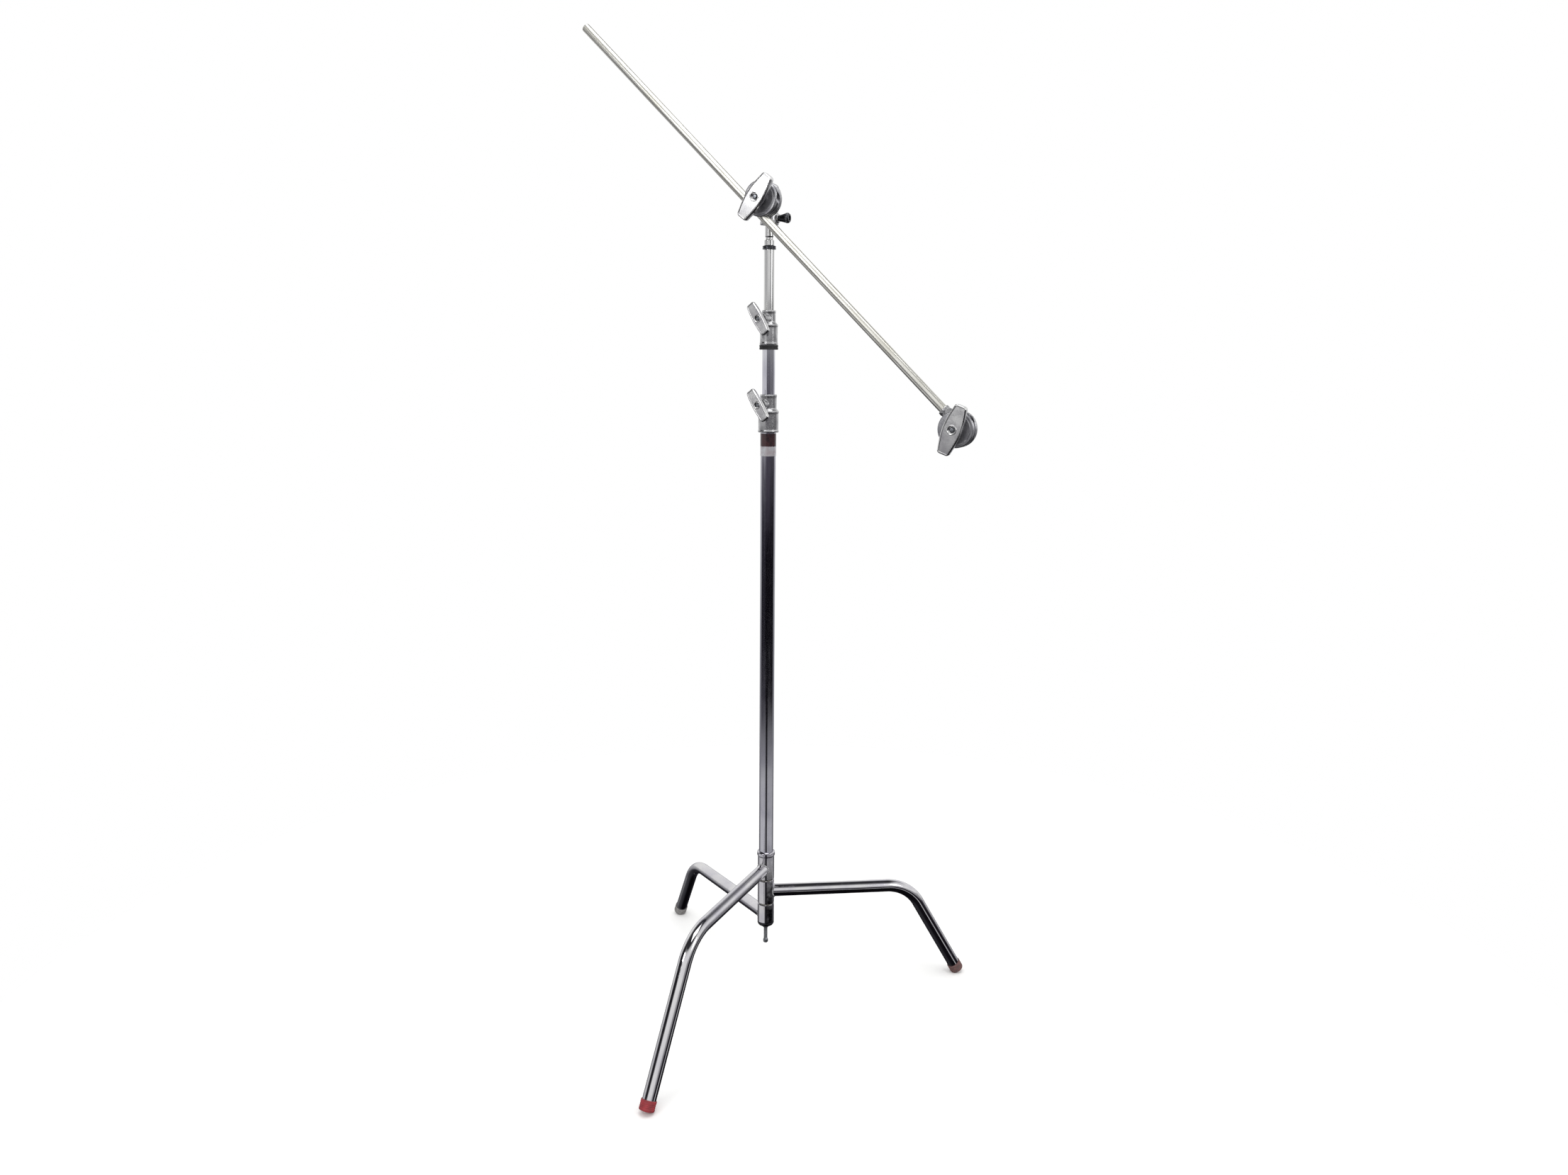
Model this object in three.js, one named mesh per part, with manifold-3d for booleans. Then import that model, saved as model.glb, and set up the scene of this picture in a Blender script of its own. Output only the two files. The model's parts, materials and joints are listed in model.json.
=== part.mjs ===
// Lighting stand with a three-legged base, two telescoping risers, a grip head and a grip arm.
// Units are millimetres and +Z is up. The stand is drawn about its column axis, and the whole
// group is then moved so that the origin is the middle of its footprint, on the floor.

import * as THREE from 'three';
import { mergeVertices } from 'three/addons/utils/BufferGeometryUtils.js';
import Module from 'manifold-3d';

const wasm = await Module();
wasm.setup();

const { degToRad } = THREE.MathUtils;

// ---------------------------------------------------------------- driving dimensions

const GAP = 0.3; // clearance kept between neighbouring pieces
const WALL = 1.5; // wall of every column tube
const SIDES = 20; // facets on tubes and collars
const FINE = 12; // facets on screws, pins and holes
const DISC_SIDES = 28; // facets on the friction discs and jaws

const COLUMN = { r: 14.3, bottom: 173.8, top: 1196 };
const RISER_1 = { r: 11.9, bottom: 350, top: 1354 };
const RISER_2 = { r: 9.53, bottom: 492, top: 1497 };
const PIN = {
  r: 7.95, top: 1603, plug: 30, collarR: 9.2, collarTop: 16, waistR: 6.8, waist: 4, grooveR: 6.9,
  groove: 6, grooveDown: 8.5, chamfer: 1.5,
};
const PIN_RING = { bore: 8.1, r: 12.4, height: 6.3, chamfer: 1.2 };

const HUB = { r: 16.7, ringR: 18, ringTop: 327 };
const LEG = { r: 12.7, wall: 1.8, start: 15.5, reach: 430, fall: 4.65, bend: 90 };
const FOOT = { r: 14.3, length: 19, floor: 3.5, trim: 2.4 };
const LEGS = [
  { name: 'high', azimuth: 241.1, axis: 290, corner: 279, bottom: 267.1, top: 318 },
  { name: 'mid', azimuth: 14.8, axis: 240, corner: 310, bottom: 215.3, top: 265.9 },
  { name: 'low', azimuth: 118.4, axis: 188, corner: 342, bottom: 173.8, top: 214.1 },
];
const CAP = { top: 173.5, bottom: 166, rim: 3, taper: 1.6, underR: 11.7 };
const TIE = {
  r: 3.9, bottom: 126, top: 240, head: 5, headR: 6.5, tip: 7, tipR: 4.9, nut: 6, nutR: 6.3, washer: 232.3,
};
const SPRING = { r: 8, wire: 1.3, bottom: 188.3, turns: 5, plug: 6 };

const KNUCKLE_TURN = -35; // turn of both clamp screws about the column, from -Y
const LOWER_KNUCKLE = {
  name: 'lower', base: 1166, skirt: 0, tubeR: COLUMN.r, riserR: RISER_1.r, collarR: 19.5,
  neckR: 15.8, ledge: COLUMN.top - 1166, shoulder: 39, screw: 51, height: 70,
};
const UPPER_KNUCKLE = {
  name: 'upper', base: 1318, skirt: 8.8, tubeR: RISER_1.r, riserR: RISER_2.r, collarR: 17,
  neckR: 13, ledge: RISER_1.top - 1318, shoulder: 45, screw: 55, height: 71,
};
const CLAMP = { screwR: 4, holeR: 4.3, bossR: 9.5, bossEnd: 22, padR: 3.8, padLength: 2.2, face: 38 };
const LABEL = { clear: 0.2, thick: 0.4, black: 24, silver: 18, below: 2 };
const GLIDE = { flange: 12, spigot: 16, wall: 3, clear: 0.4 };
const SMALL_WING = { half: 32, middle: 11.5, end: 9.5, plate: 8, hubR: 7.5, hub: 5, tilt: -34 };

const HEAD = { z: 1582, turn: -25, armTilt: 43.85, discR: 31.75, face: 20 };
const RECEIVER = {
  r: 17, bottom: -42, top: 28, shoulder: 4, boreR: 8.25, lock: -31, bossR: 8, bossEnd: 19.5, padLength: 3,
};
const KNOB = { start: 20.5, end: 40, stemR: 5.6, stem: 4, flareR: 9.2, flare: 6, crownR: 7.6, crown: 2 };
const JAW = { near: 0.3, thick: 7.7, gap: 6, bore: 5.3, recessR: 9, recess: 3, clear: 0.5 };
const JAW_SPRING = { r: 7.2, wire: 0.8, turns: 3 };
const THRUST = { r: 12, thick: 2.4 };
const BOLT = { r: 5, headR: 7, pocketR: 7.4, pocket: 13, headThick: 3.4 };
const BIG_WING = { half: 44, middle: 17, end: 11.5, plate: 12, hubR: 13, hub: 8.7, sinkR: 6.8 };
const WING_TILT = { top: 37, end: 20.2 };
const GROOVES = [
  { rod: 15.9, offset: -21, turn: 0 },
  { rod: 12.7, offset: 21, turn: 0 },
  { rod: 9.5, offset: -22, turn: 90 },
  { rod: 6.4, offset: 22.5, turn: 90 },
];
const ARM = { r: 7.95, length: 1016, left: -485.5, drop: GROOVES[0].offset };
const END_HEAD = { x: 548.5, face: 16, backs: -11, hubR: 17, neckR: 10.6, neck: 46, rodStop: 17.5 };
const DISC = { thick: 6, edge: 1, hubR: 21, start: 5 };

const FINISHES = {
  chrome: { color: 0xc9cacc, roughness: 0.18, metalness: 1 },
  darkChrome: { color: 0x8f9095, roughness: 0.2, metalness: 1 },
  satinSteel: { color: 0xd4d3cc, roughness: 0.38, metalness: 1 },
  casting: { color: 0xb4b5b7, roughness: 0.42, metalness: 1 },
  zincSteel: { color: 0x9a9c9e, roughness: 0.5, metalness: 1 },
  blackRubber: { color: 0x17171a, roughness: 0.7, metalness: 0 },
  redPlastic: { color: 0xc4231c, roughness: 0.5, metalness: 0 },
  blackLabel: { color: 0x1c1a1c, roughness: 0.4, metalness: 0 },
  silverLabel: { color: 0xcfd0d4, roughness: 0.35, metalness: 0.4 },
  whiteNylon: { color: 0xe2e0d8, roughness: 0.6, metalness: 0 },
};

// ---------------------------------------------------------------- helpers

const UP = new THREE.Vector3(0, 0, 1);
const FORWARD = new THREE.Vector3(0, -1, 0);
const RIGHT = new THREE.Vector3(1, 0, 0);

/** Six times the signed volume of an indexed triangle list. */
function signedVolume(points, triangles) {
  const corner = [0, 1, 2].map(() => new THREE.Vector3());
  let sum = 0;
  for (let i = 0; i < triangles.length; i += 3) {
    corner.forEach((vector, k) => vector.fromArray(points, 3 * triangles[i + k]));
    sum += corner[0].dot(corner[1].clone().cross(corner[2]));
  }
  return sum;
}

/** Turns a closed geometry into a solid whose faces point out. */
function solidOf(geometry) {
  const bare = geometry.clone();
  bare.deleteAttribute('normal');
  bare.deleteAttribute('uv');
  const merged = mergeVertices(bare, 1e-3);
  const points = Float32Array.from(merged.attributes.position.array);
  const index = merged.index.array;
  const kept = [];
  for (let i = 0; i < index.length; i += 3) {
    const [a, b, c] = index.slice(i, i + 3);
    if (a !== b && b !== c && c !== a) kept.push(a, b, c);
  }
  if (signedVolume(points, kept) < 0) kept.reverse();
  return new wasm.Manifold(
    new wasm.Mesh({ numProp: 3, vertProperties: points, triVerts: Uint32Array.from(kept) }),
  );
}

/** Moves a geometry drawn about +Z so that it lies along an axis, with its zero at a point. */
function placeAlong(geometry, axis, at) {
  geometry.applyQuaternion(new THREE.Quaternion().setFromUnitVectors(UP, axis));
  geometry.translate(at.x, at.y, at.z);
  return geometry;
}

/** Turned solid: [radius, distance] points along an axis. Off the axis the outline closes itself. */
function turned(outline, sides = SIDES, axis = UP, at = new THREE.Vector3()) {
  const points = outline.map(([r, d]) => new THREE.Vector2(r, d));
  if (outline[0][0] > 0) points.push(points[0].clone());
  const geometry = new THREE.LatheGeometry(points, sides).rotateX(Math.PI / 2);
  return solidOf(placeAlong(geometry, axis, at));
}

/** Round bar between two distances along an axis. */
function bar(r, from, to, sides = SIDES, axis = UP, at = new THREE.Vector3()) {
  return turned([[0, from], [r, from], [r, to], [0, to]], sides, axis, at);
}

/** Round tube between two heights. */
function ring(outer, inner, from, to, sides = SIDES, axis = UP) {
  return turned([[inner, from], [outer, from], [outer, to], [inner, to]], sides, axis);
}

/** Coil spring along an axis, as a round wire swept along a helix. */
function coil({ r, wire, from, to, turns, axis }) {
  class Helix extends THREE.Curve {
    getPoint(t, target = new THREE.Vector3()) {
      const angle = 2 * Math.PI * turns * t;
      const height = from + wire + (to - from - 2 * wire) * t;
      return target.set(r * Math.cos(angle), r * Math.sin(angle), height);
    }
  }
  const options = { steps: 10 * turns, bevelEnabled: false, extrudePath: new Helix() };
  const geometry = new THREE.ExtrudeGeometry(circle(wire, 5), options);
  return solidOf(placeAlong(geometry, axis, new THREE.Vector3()));
}

/** Regular polygon that stands for a circle. */
function circle(r, sides) {
  const corners = Array.from({ length: sides }, (_, i) => {
    const angle = (2 * Math.PI * i) / sides;
    return new THREE.Vector2(r * Math.cos(angle), r * Math.sin(angle));
  });
  return new THREE.Shape(corners);
}

/** Adds a named mesh, with a material of its own, to a group. */
function addPart(group, name, solid, finish) {
  const { vertProperties, triVerts, numProp } = solid.getMesh();
  const position = new Float32Array((vertProperties.length / numProp) * 3);
  for (let i = 0; i < position.length / 3; i += 1) {
    for (let k = 0; k < 3; k += 1) position[3 * i + k] = vertProperties[numProp * i + k];
  }
  const geometry = new THREE.BufferGeometry();
  geometry.setAttribute('position', new THREE.BufferAttribute(position, 3));
  geometry.setIndex(new THREE.BufferAttribute(Uint32Array.from(triVerts), 1));
  geometry.computeVertexNormals();
  const mesh = new THREE.Mesh(geometry, new THREE.MeshStandardMaterial(FINISHES[finish]));
  mesh.name = name;
  group.add(mesh);
}

/** Nested group at a place, turned about one axis by degrees. */
function subGroup(parent, { at = [0, 0, 0], turnZ = 0, turnY = 0 }) {
  const group = new THREE.Group();
  group.position.set(...at);
  group.rotation.set(0, degToRad(turnY), degToRad(turnZ));
  parent.add(group);
  return group;
}

// ---------------------------------------------------------------- base

/** Two straight runs joined by an arc, in the XZ plane. Most of its steps fall on the arc. */
class BentPath extends THREE.Curve {
  constructor(start, corner, end, radius) {
    super();
    const inward = new THREE.Vector3().subVectors(start, corner).normalize();
    const outward = new THREE.Vector3().subVectors(end, corner).normalize();
    const half = inward.angleTo(outward) / 2;
    const setback = radius / Math.tan(half);
    this.start = start;
    this.end = end;
    this.arcStart = corner.clone().addScaledVector(inward, setback);
    this.arcEnd = corner.clone().addScaledVector(outward, setback);
    const middle = new THREE.Vector3().addVectors(inward, outward).normalize();
    this.centre = corner.clone().addScaledVector(middle, radius / Math.sin(half));
    this.sweep = Math.PI - 2 * half;
  }

  getPoint(t, target = new THREE.Vector3()) {
    const straight = BentPath.STRAIGHT;
    if (t <= straight) return target.lerpVectors(this.start, this.arcStart, t / straight);
    if (t >= 1 - straight) {
      return target.lerpVectors(this.arcEnd, this.end, (t - 1 + straight) / straight);
    }
    const angle = (this.sweep * (t - straight)) / (1 - 2 * straight);
    const arm = this.arcStart.clone().sub(this.centre);
    arm.applyAxisAngle(new THREE.Vector3(0, 1, 0), angle);
    return target.addVectors(this.centre, arm);
  }

  getPointAt(u, target) {
    return this.getPoint(u, target);
  }

  getTangentAt(u, target) {
    return this.getTangent(u, target);
  }
}
BentPath.STEPS = 8; // one for each straight run and six for the bend
BentPath.STRAIGHT = 1 / BentPath.STEPS;

/** Centre line of one leg, from near the column to a distance short of the foot's underside. */
function legPath({ axis, corner }, start, shortOfFoot) {
  const slope = Math.tan(degToRad(LEG.fall));
  const first = new THREE.Vector3(start, 0, axis - start * slope);
  const knee = new THREE.Vector3(corner, 0, axis - corner * slope);
  const foot = footPoint();
  const back = new THREE.Vector3().subVectors(knee, foot).normalize();
  return new BentPath(first, knee, foot.addScaledVector(back, shortOfFoot), LEG.bend);
}

/** Middle of the foot's end face before the floor trims it. */
function footPoint() {
  return new THREE.Vector3(LEG.reach, 0, FOOT.r / 2 - FOOT.trim);
}

/** Sweep of a round section along a leg's centre line. */
function sweepLeg(path, r, sides) {
  const options = { steps: BentPath.STEPS, bevelEnabled: false, extrudePath: path };
  return solidOf(new THREE.ExtrudeGeometry(circle(r, sides), options));
}

/** Leg tube welded to the collar that turns on the column. */
function legSolid(leg) {
  const lip = 1.5;
  const collar = turned([
    [0, leg.bottom], [HUB.r - lip, leg.bottom], [HUB.r, leg.bottom + lip],
    [HUB.r, leg.top - lip], [HUB.r - lip, leg.top], [0, leg.top],
  ]);
  const end = FOOT.floor + GAP;
  const outer = sweepLeg(legPath(leg, LEG.start, end), LEG.r, 16);
  const inner = sweepLeg(legPath(leg, LEG.start + 9, end - 2), LEG.r - LEG.wall, 8);
  const bore = bar(COLUMN.r + GAP, leg.bottom - 1, leg.top + 1);
  return collar.add(outer).subtract(inner).subtract(bore);
}

/** Plastic cap on a leg's end, worn flat where it stands on the floor. */
function footCap(leg) {
  const knee = new THREE.Vector3(leg.corner, 0, leg.axis - leg.corner * Math.tan(degToRad(LEG.fall)));
  const foot = footPoint();
  const axis = knee.sub(foot).normalize();
  const hollow = LEG.r + GAP;
  const cap = turned([
    [0, 0], [FOOT.r - 1, 0], [FOOT.r, 1], [FOOT.r, FOOT.length], [hollow, FOOT.length],
    [hollow, FOOT.floor], [0, FOOT.floor],
  ], SIDES, axis, foot);
  const below = new THREE.BoxGeometry(80, 80, 20).translate(LEG.reach, 0, -10);
  return cap.subtract(solidOf(below));
}

function addLegs(stand) {
  for (const leg of LEGS) {
    const group = subGroup(stand, { turnZ: leg.azimuth });
    addPart(group, `leg_${leg.name}`, legSolid(leg), 'chrome');
    addPart(group, `foot_cap_${leg.name}`, footCap(leg), 'redPlastic');
  }
  for (const [name, above, below] of [['upper', LEGS[0], LEGS[1]], ['lower', LEGS[1], LEGS[2]]]) {
    const washer = ring(HUB.r - 2, COLUMN.r + GAP, below.top + GAP, above.bottom - GAP);
    addPart(stand, `${name}_collar_washer`, washer, 'whiteNylon');
  }
}

/** Tie rod down the middle of the column, with a round head above and a bulb tip below. */
function tieRod() {
  const { r, bottom, top, head, headR, tip, tipR } = TIE;
  const edge = 1.5;
  return turned([
    [0, bottom], [tipR - edge, bottom], [tipR, bottom + edge], [tipR, bottom + tip],
    [r, bottom + tip + 2], [r, top - head], [headR, top - head], [headR, top], [0, top],
  ], FINE);
}

/** Sprung bottom cap: the spring pulls it up against the lowest leg collar. */
function addSpringBase(stand) {
  const hole = TIE.r + GAP;
  const cap = turned([
    [hole, CAP.top], [HUB.r, CAP.top], [HUB.r, CAP.top - CAP.rim],
    [HUB.r - CAP.taper, CAP.top - 2 * CAP.rim], [CAP.underR, CAP.bottom], [hole, CAP.bottom],
  ]);
  addPart(stand, 'bottom_cap', cap, 'darkChrome');
  addPart(stand, 'tie_rod', tieRod(), 'zincSteel');
  const nut = bar(TIE.nutR, CAP.bottom - GAP - TIE.nut, CAP.bottom - GAP, 6)
    .subtract(bar(hole, CAP.bottom - TIE.nut - 1, CAP.bottom, FINE));
  addPart(stand, 'tie_rod_nut', nut, 'zincSteel');
  const inside = COLUMN.r - WALL - GAP;
  const plug = ring(inside, hole, SPRING.bottom - SPRING.plug, SPRING.bottom - GAP);
  addPart(stand, 'column_plug', plug, 'zincSteel');
  const washer = ring(inside - GAP, hole, TIE.washer, TIE.top - TIE.head - GAP, FINE);
  addPart(stand, 'spring_washer', washer, 'zincSteel');
  const spring = coil({ ...SPRING, from: SPRING.bottom, to: TIE.washer - GAP, axis: UP });
  addPart(stand, 'base_spring', spring, 'zincSteel');
}

// ---------------------------------------------------------------- column and risers

/** Hollow tube of the column. */
function columnTube({ r, bottom, top }) {
  return ring(r, r - WALL, bottom, top);
}

/** Nylon plug that guides a riser's lower end: a flange below and a spigot inside the riser. */
function glide(riser, outerTube) {
  const flangeR = outerTube.r - WALL - GLIDE.clear;
  const spigotR = riser.r - WALL - GLIDE.clear;
  const bore = spigotR - GLIDE.wall;
  const base = riser.bottom - GAP;
  const bottom = base - GLIDE.flange;
  return turned([
    [bore, bottom], [flangeR - 1, bottom], [flangeR, bottom + 1], [flangeR, base],
    [spigotR, base], [spigotR, base + GLIDE.spigot], [bore, base + GLIDE.spigot],
  ]);
}

/** Two bands round the top of the column, one below the other. */
function addLabels(stand) {
  const inner = COLUMN.r + LABEL.clear;
  let top = LOWER_KNUCKLE.base - LABEL.below;
  for (const colour of ['black', 'silver']) {
    const bottom = top - LABEL[colour];
    addPart(stand, `${colour}_label`, ring(inner + LABEL.thick, inner, bottom, top), `${colour}Label`);
    top = bottom - GAP;
  }
}

function addColumn(stand) {
  addPart(stand, 'column_tube', columnTube(COLUMN), 'darkChrome');
  const ringBottom = LEGS[0].top + GAP;
  const hubRing = turned([
    [COLUMN.r + GAP, ringBottom], [HUB.ringR, ringBottom], [HUB.ringR, HUB.ringTop - 2],
    [HUB.ringR - 2, HUB.ringTop], [COLUMN.r + GAP, HUB.ringTop],
  ]);
  addPart(stand, 'hub_ring', hubRing, 'chrome');
  addLabels(stand);
  addPart(stand, 'riser_1_glide', glide(RISER_1, COLUMN), 'whiteNylon');
  addPart(stand, 'riser_1_tube', columnTube(RISER_1), 'darkChrome');
  addPart(stand, 'riser_2_glide', glide(RISER_2, RISER_1), 'whiteNylon');
  addPart(stand, 'riser_2_tube', columnTube(RISER_2), 'chrome');
}

/** Baby pin: a plug inside the riser, a collar, a waist and the standard spigot. */
function babyPin() {
  const plugR = RISER_2.r - WALL - GAP;
  const seat = RISER_2.top;
  const collarStart = seat + GAP + PIN_RING.height + GAP;
  const collarEnd = seat + PIN.collarTop;
  const waistEnd = collarEnd + PIN.chamfer + PIN.waist;
  const grooveTop = PIN.top - PIN.grooveDown;
  const grooveBottom = grooveTop - PIN.groove;
  return turned([
    [0, seat - PIN.plug], [plugR, seat - PIN.plug], [plugR, collarStart],
    [PIN.collarR, collarStart], [PIN.collarR, collarEnd], [PIN.waistR, collarEnd + PIN.chamfer],
    [PIN.waistR, waistEnd], [PIN.r, waistEnd + PIN.chamfer], [PIN.r, grooveBottom - PIN.chamfer],
    [PIN.grooveR, grooveBottom], [PIN.grooveR, grooveTop], [PIN.r, grooveTop + PIN.chamfer],
    [PIN.r, PIN.top - PIN.chamfer], [PIN.r - PIN.chamfer, PIN.top], [0, PIN.top],
  ], 16);
}

function addPin(stand) {
  const seat = RISER_2.top + GAP;
  const { bore, r, height, chamfer } = PIN_RING;
  const collar = turned([
    [bore, seat], [r, seat], [r, seat + height - chamfer], [r - chamfer, seat + height],
    [bore, seat + height],
  ]);
  addPart(stand, 'pin_ring', collar, 'darkChrome');
  addPart(stand, 'baby_pin', babyPin(), 'chrome');
}

/** Cast clamp: a collar on the lower tube, a neck round the riser and a boss for the screw. */
function knuckleCasting(k) {
  const body = turned([
    [0, k.skirt], [k.collarR - 1, k.skirt], [k.collarR, k.skirt + 1], [k.collarR, k.shoulder],
    [k.neckR, k.shoulder + 5], [k.neckR, k.height - 1.5], [k.neckR - 1.5, k.height], [0, k.height],
  ]);
  const screwAt = new THREE.Vector3(0, 0, k.screw);
  const boss = bar(CLAMP.bossR, k.riserR, CLAMP.bossEnd, SIDES, FORWARD, screwAt);
  const tubeBore = bar(k.tubeR + GAP, k.skirt - 1, k.ledge + GAP);
  const riserBore = bar(k.riserR + GAP, k.ledge, k.height + 1);
  const screwHole = bar(CLAMP.holeR, 0, CLAMP.bossEnd + 1, FINE, FORWARD, screwAt);
  return body.add(boss).subtract(tubeBore).subtract(riserBore).subtract(screwHole);
}

/** Outline of a wing handle, long along Y: full in the middle and narrower at its round ends. */
function wingOutline({ half, middle, end }) {
  const corner = end * 0.55;
  const shape = new THREE.Shape();
  shape.moveTo(middle, 0);
  shape.quadraticCurveTo(middle, half * 0.35, end, half - corner);
  shape.quadraticCurveTo(end * 0.95, half, end - corner, half);
  shape.lineTo(corner - end, half);
  shape.quadraticCurveTo(-end * 0.95, half, -end, half - corner);
  shape.quadraticCurveTo(-middle, half * 0.35, -middle, 0);
  shape.quadraticCurveTo(-middle, -half * 0.35, -end, corner - half);
  shape.quadraticCurveTo(-end * 0.95, -half, corner - end, -half);
  shape.lineTo(end - corner, -half);
  shape.quadraticCurveTo(end * 0.95, -half, end, corner - half);
  shape.quadraticCurveTo(middle, -half * 0.35, middle, 0);
  return shape;
}

/** Wing handle whose outer face is at a distance along -Y. Its long side stands along Z. */
function wingHandle(wing, face, holeR, countersink) {
  const bevel = 2;
  const options = {
    depth: wing.plate - 2 * bevel, bevelEnabled: true, bevelThickness: bevel, bevelSize: bevel,
    bevelOffset: -bevel, bevelSegments: 1, curveSegments: 4,
  };
  const plate = new THREE.ExtrudeGeometry(wingOutline(wing), options);
  plate.translate(0, 0, face - wing.plate + bevel).rotateX(Math.PI / 2);
  const hub = bar(wing.hubR, face - wing.plate - wing.hub, face - wing.plate + 1, FINE, FORWARD);
  const hole = bar(holeR, face - wing.plate - wing.hub - 1, face + 1, FINE, FORWARD);
  const sink = bar(countersink, face - 6, face + 1, FINE, FORWARD);
  return solidOf(plate).add(hub).subtract(hole).subtract(sink);
}

/** Clamp screw parts of a knuckle: the pad against the riser, the screw and its wing handle. */
function addClampScrew(group, k) {
  const padStart = k.riserR + GAP;
  const screwStart = padStart + CLAMP.padLength + GAP;
  const pad = bar(CLAMP.padR, padStart, screwStart - GAP, FINE, FORWARD);
  addPart(group, `${k.name}_clamp_pad`, pad, 'whiteNylon');
  const screw = bar(CLAMP.screwR, screwStart, CLAMP.face - 1.5, FINE, FORWARD);
  addPart(group, `${k.name}_clamp_screw`, screw, 'zincSteel');
  const turnedWing = subGroup(group, { turnY: SMALL_WING.tilt });
  const wing = wingHandle(SMALL_WING, CLAMP.face, CLAMP.holeR, CLAMP.holeR + 1);
  addPart(turnedWing, `${k.name}_wing_handle`, wing, 'casting');
}

function addKnuckle(stand, k) {
  const group = subGroup(stand, { at: [0, 0, k.base], turnZ: KNUCKLE_TURN });
  addPart(group, `${k.name}_knuckle`, knuckleCasting(k), 'casting');
  addClampScrew(subGroup(group, { at: [0, 0, k.screw] }), k);
}

function addBumper(stand) {
  const k = UPPER_KNUCKLE;
  const bumper = turned([
    [k.tubeR + GAP, k.base], [k.collarR - 0.6, k.base], [k.collarR + 0.4, k.base + 1],
    [k.collarR + 0.4, k.base + k.skirt - GAP], [k.tubeR + GAP, k.base + k.skirt - GAP],
  ]);
  addPart(stand, 'bumper_ring', bumper, 'blackRubber');
}

// ---------------------------------------------------------------- grip heads

/** Cylinder that cuts one rod groove, running across the jaws at the middle of their gap. */
function grooveCutter(groove, middle) {
  const turn = degToRad(groove.turn);
  const axis = new THREE.Vector3(Math.cos(turn), 0, -Math.sin(turn));
  const at = new THREE.Vector3(Math.sin(turn), 0, Math.cos(turn)).multiplyScalar(groove.offset);
  at.y = -middle;
  return bar(groove.rod / 2 + JAW.clear, -1.2 * HEAD.discR, 1.2 * HEAD.discR, FINE, axis, at);
}

/** Jaw disc with its grooved face at the gap. Direction 1 faces outwards, -1 faces the stand. */
function jawDisc(face, direction, middle) {
  const back = face - direction * JAW.thick;
  const recess = face - direction * JAW.recess;
  const R = HEAD.discR;
  let disc = turned([
    [JAW.bore, back], [R - 1.5, back], [R, back + direction * 1.5], [R, face - direction],
    [R - 1, face], [JAW.recessR, face], [JAW.recessR, recess], [JAW.bore, recess],
  ], DISC_SIDES, FORWARD);
  for (const groove of GROOVES) disc = disc.subtract(grooveCutter(groove, middle));
  return disc;
}

/** Distances of one head's stack from its body's axis, out along the clamp bolt. */
function stackOf(face) {
  const inner = face + JAW.near + JAW.thick;
  const outer = inner + JAW.gap;
  const washer = outer + JAW.thick + GAP;
  const handle = washer + THRUST.thick + 2 * GAP;
  const end = handle + BIG_WING.hub + BIG_WING.plate;
  return { inner, outer, middle: (inner + outer) / 2, washer, handle, end };
}

/** Parts that turn together about the clamp bolt: both jaws, their spring and the washer. */
function addJaws(group, prefix, face) {
  const s = stackOf(face);
  addPart(group, `${prefix}_inner_jaw`, jawDisc(s.inner, 1, s.middle), 'casting');
  const from = s.inner - JAW.recess + GAP;
  const to = s.outer + JAW.recess - GAP;
  const spring = coil({ ...JAW_SPRING, from, to, axis: FORWARD });
  addPart(group, `${prefix}_jaw_spring`, spring, 'zincSteel');
  addPart(group, `${prefix}_outer_jaw`, jawDisc(s.outer, -1, s.middle), 'casting');
  const washer = ring(THRUST.r, JAW.bore, s.washer, s.washer + THRUST.thick, SIDES, FORWARD);
  addPart(group, `${prefix}_thrust_washer`, washer, 'zincSteel');
}

/** Clamp bolt with its head held in the body, starting at a distance out along the axis. */
function clampBolt(headStart, face) {
  const neck = headStart + BOLT.headThick;
  const tip = stackOf(face).end - 2;
  return turned([
    [0, headStart], [BOLT.headR, headStart], [BOLT.headR, neck], [BOLT.r, neck],
    [BOLT.r, tip - 1], [BOLT.r - 1, tip], [0, tip],
  ], FINE, FORWARD);
}

function addMainHandle(group, prefix, face, tilt) {
  const tilted = subGroup(group, { turnY: tilt });
  const handle = wingHandle(BIG_WING, stackOf(face).end, JAW.bore, BIG_WING.sinkR);
  addPart(tilted, `${prefix}_wing_handle`, handle, 'chrome');
}

/** Head body: the receiver for the pin, with the friction disc cast on its side. */
function gripBody() {
  const { r, bottom, top, shoulder } = RECEIVER;
  const lockAt = new THREE.Vector3(0, 0, RECEIVER.lock);
  const shell = turned([
    [0, bottom], [r - 1.5, bottom], [r, bottom + 1.5], [r, top - shoulder],
    [r - shoulder, top], [0, top],
  ]);
  const R = HEAD.discR;
  const discBack = HEAD.face - DISC.thick;
  const disc = turned([
    [0, DISC.start], [DISC.hubR, DISC.start], [DISC.hubR, discBack], [R - DISC.edge, discBack],
    [R, discBack + DISC.edge], [R, HEAD.face], [0, HEAD.face],
  ], DISC_SIDES, FORWARD);
  const boss = bar(RECEIVER.bossR, DISC.start, RECEIVER.bossEnd, SIDES, RIGHT, lockAt);
  return shell.add(disc).add(boss)
    .subtract(bar(RECEIVER.boreR, bottom - 1, top + 1))
    .subtract(bar(BOLT.pocketR, 0, BOLT.pocket, FINE, FORWARD))
    .subtract(bar(JAW.bore, 0, HEAD.face + 1, FINE, FORWARD))
    .subtract(bar(CLAMP.holeR, 0, RECEIVER.bossEnd + 1, FINE, RIGHT, lockAt));
}

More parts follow.
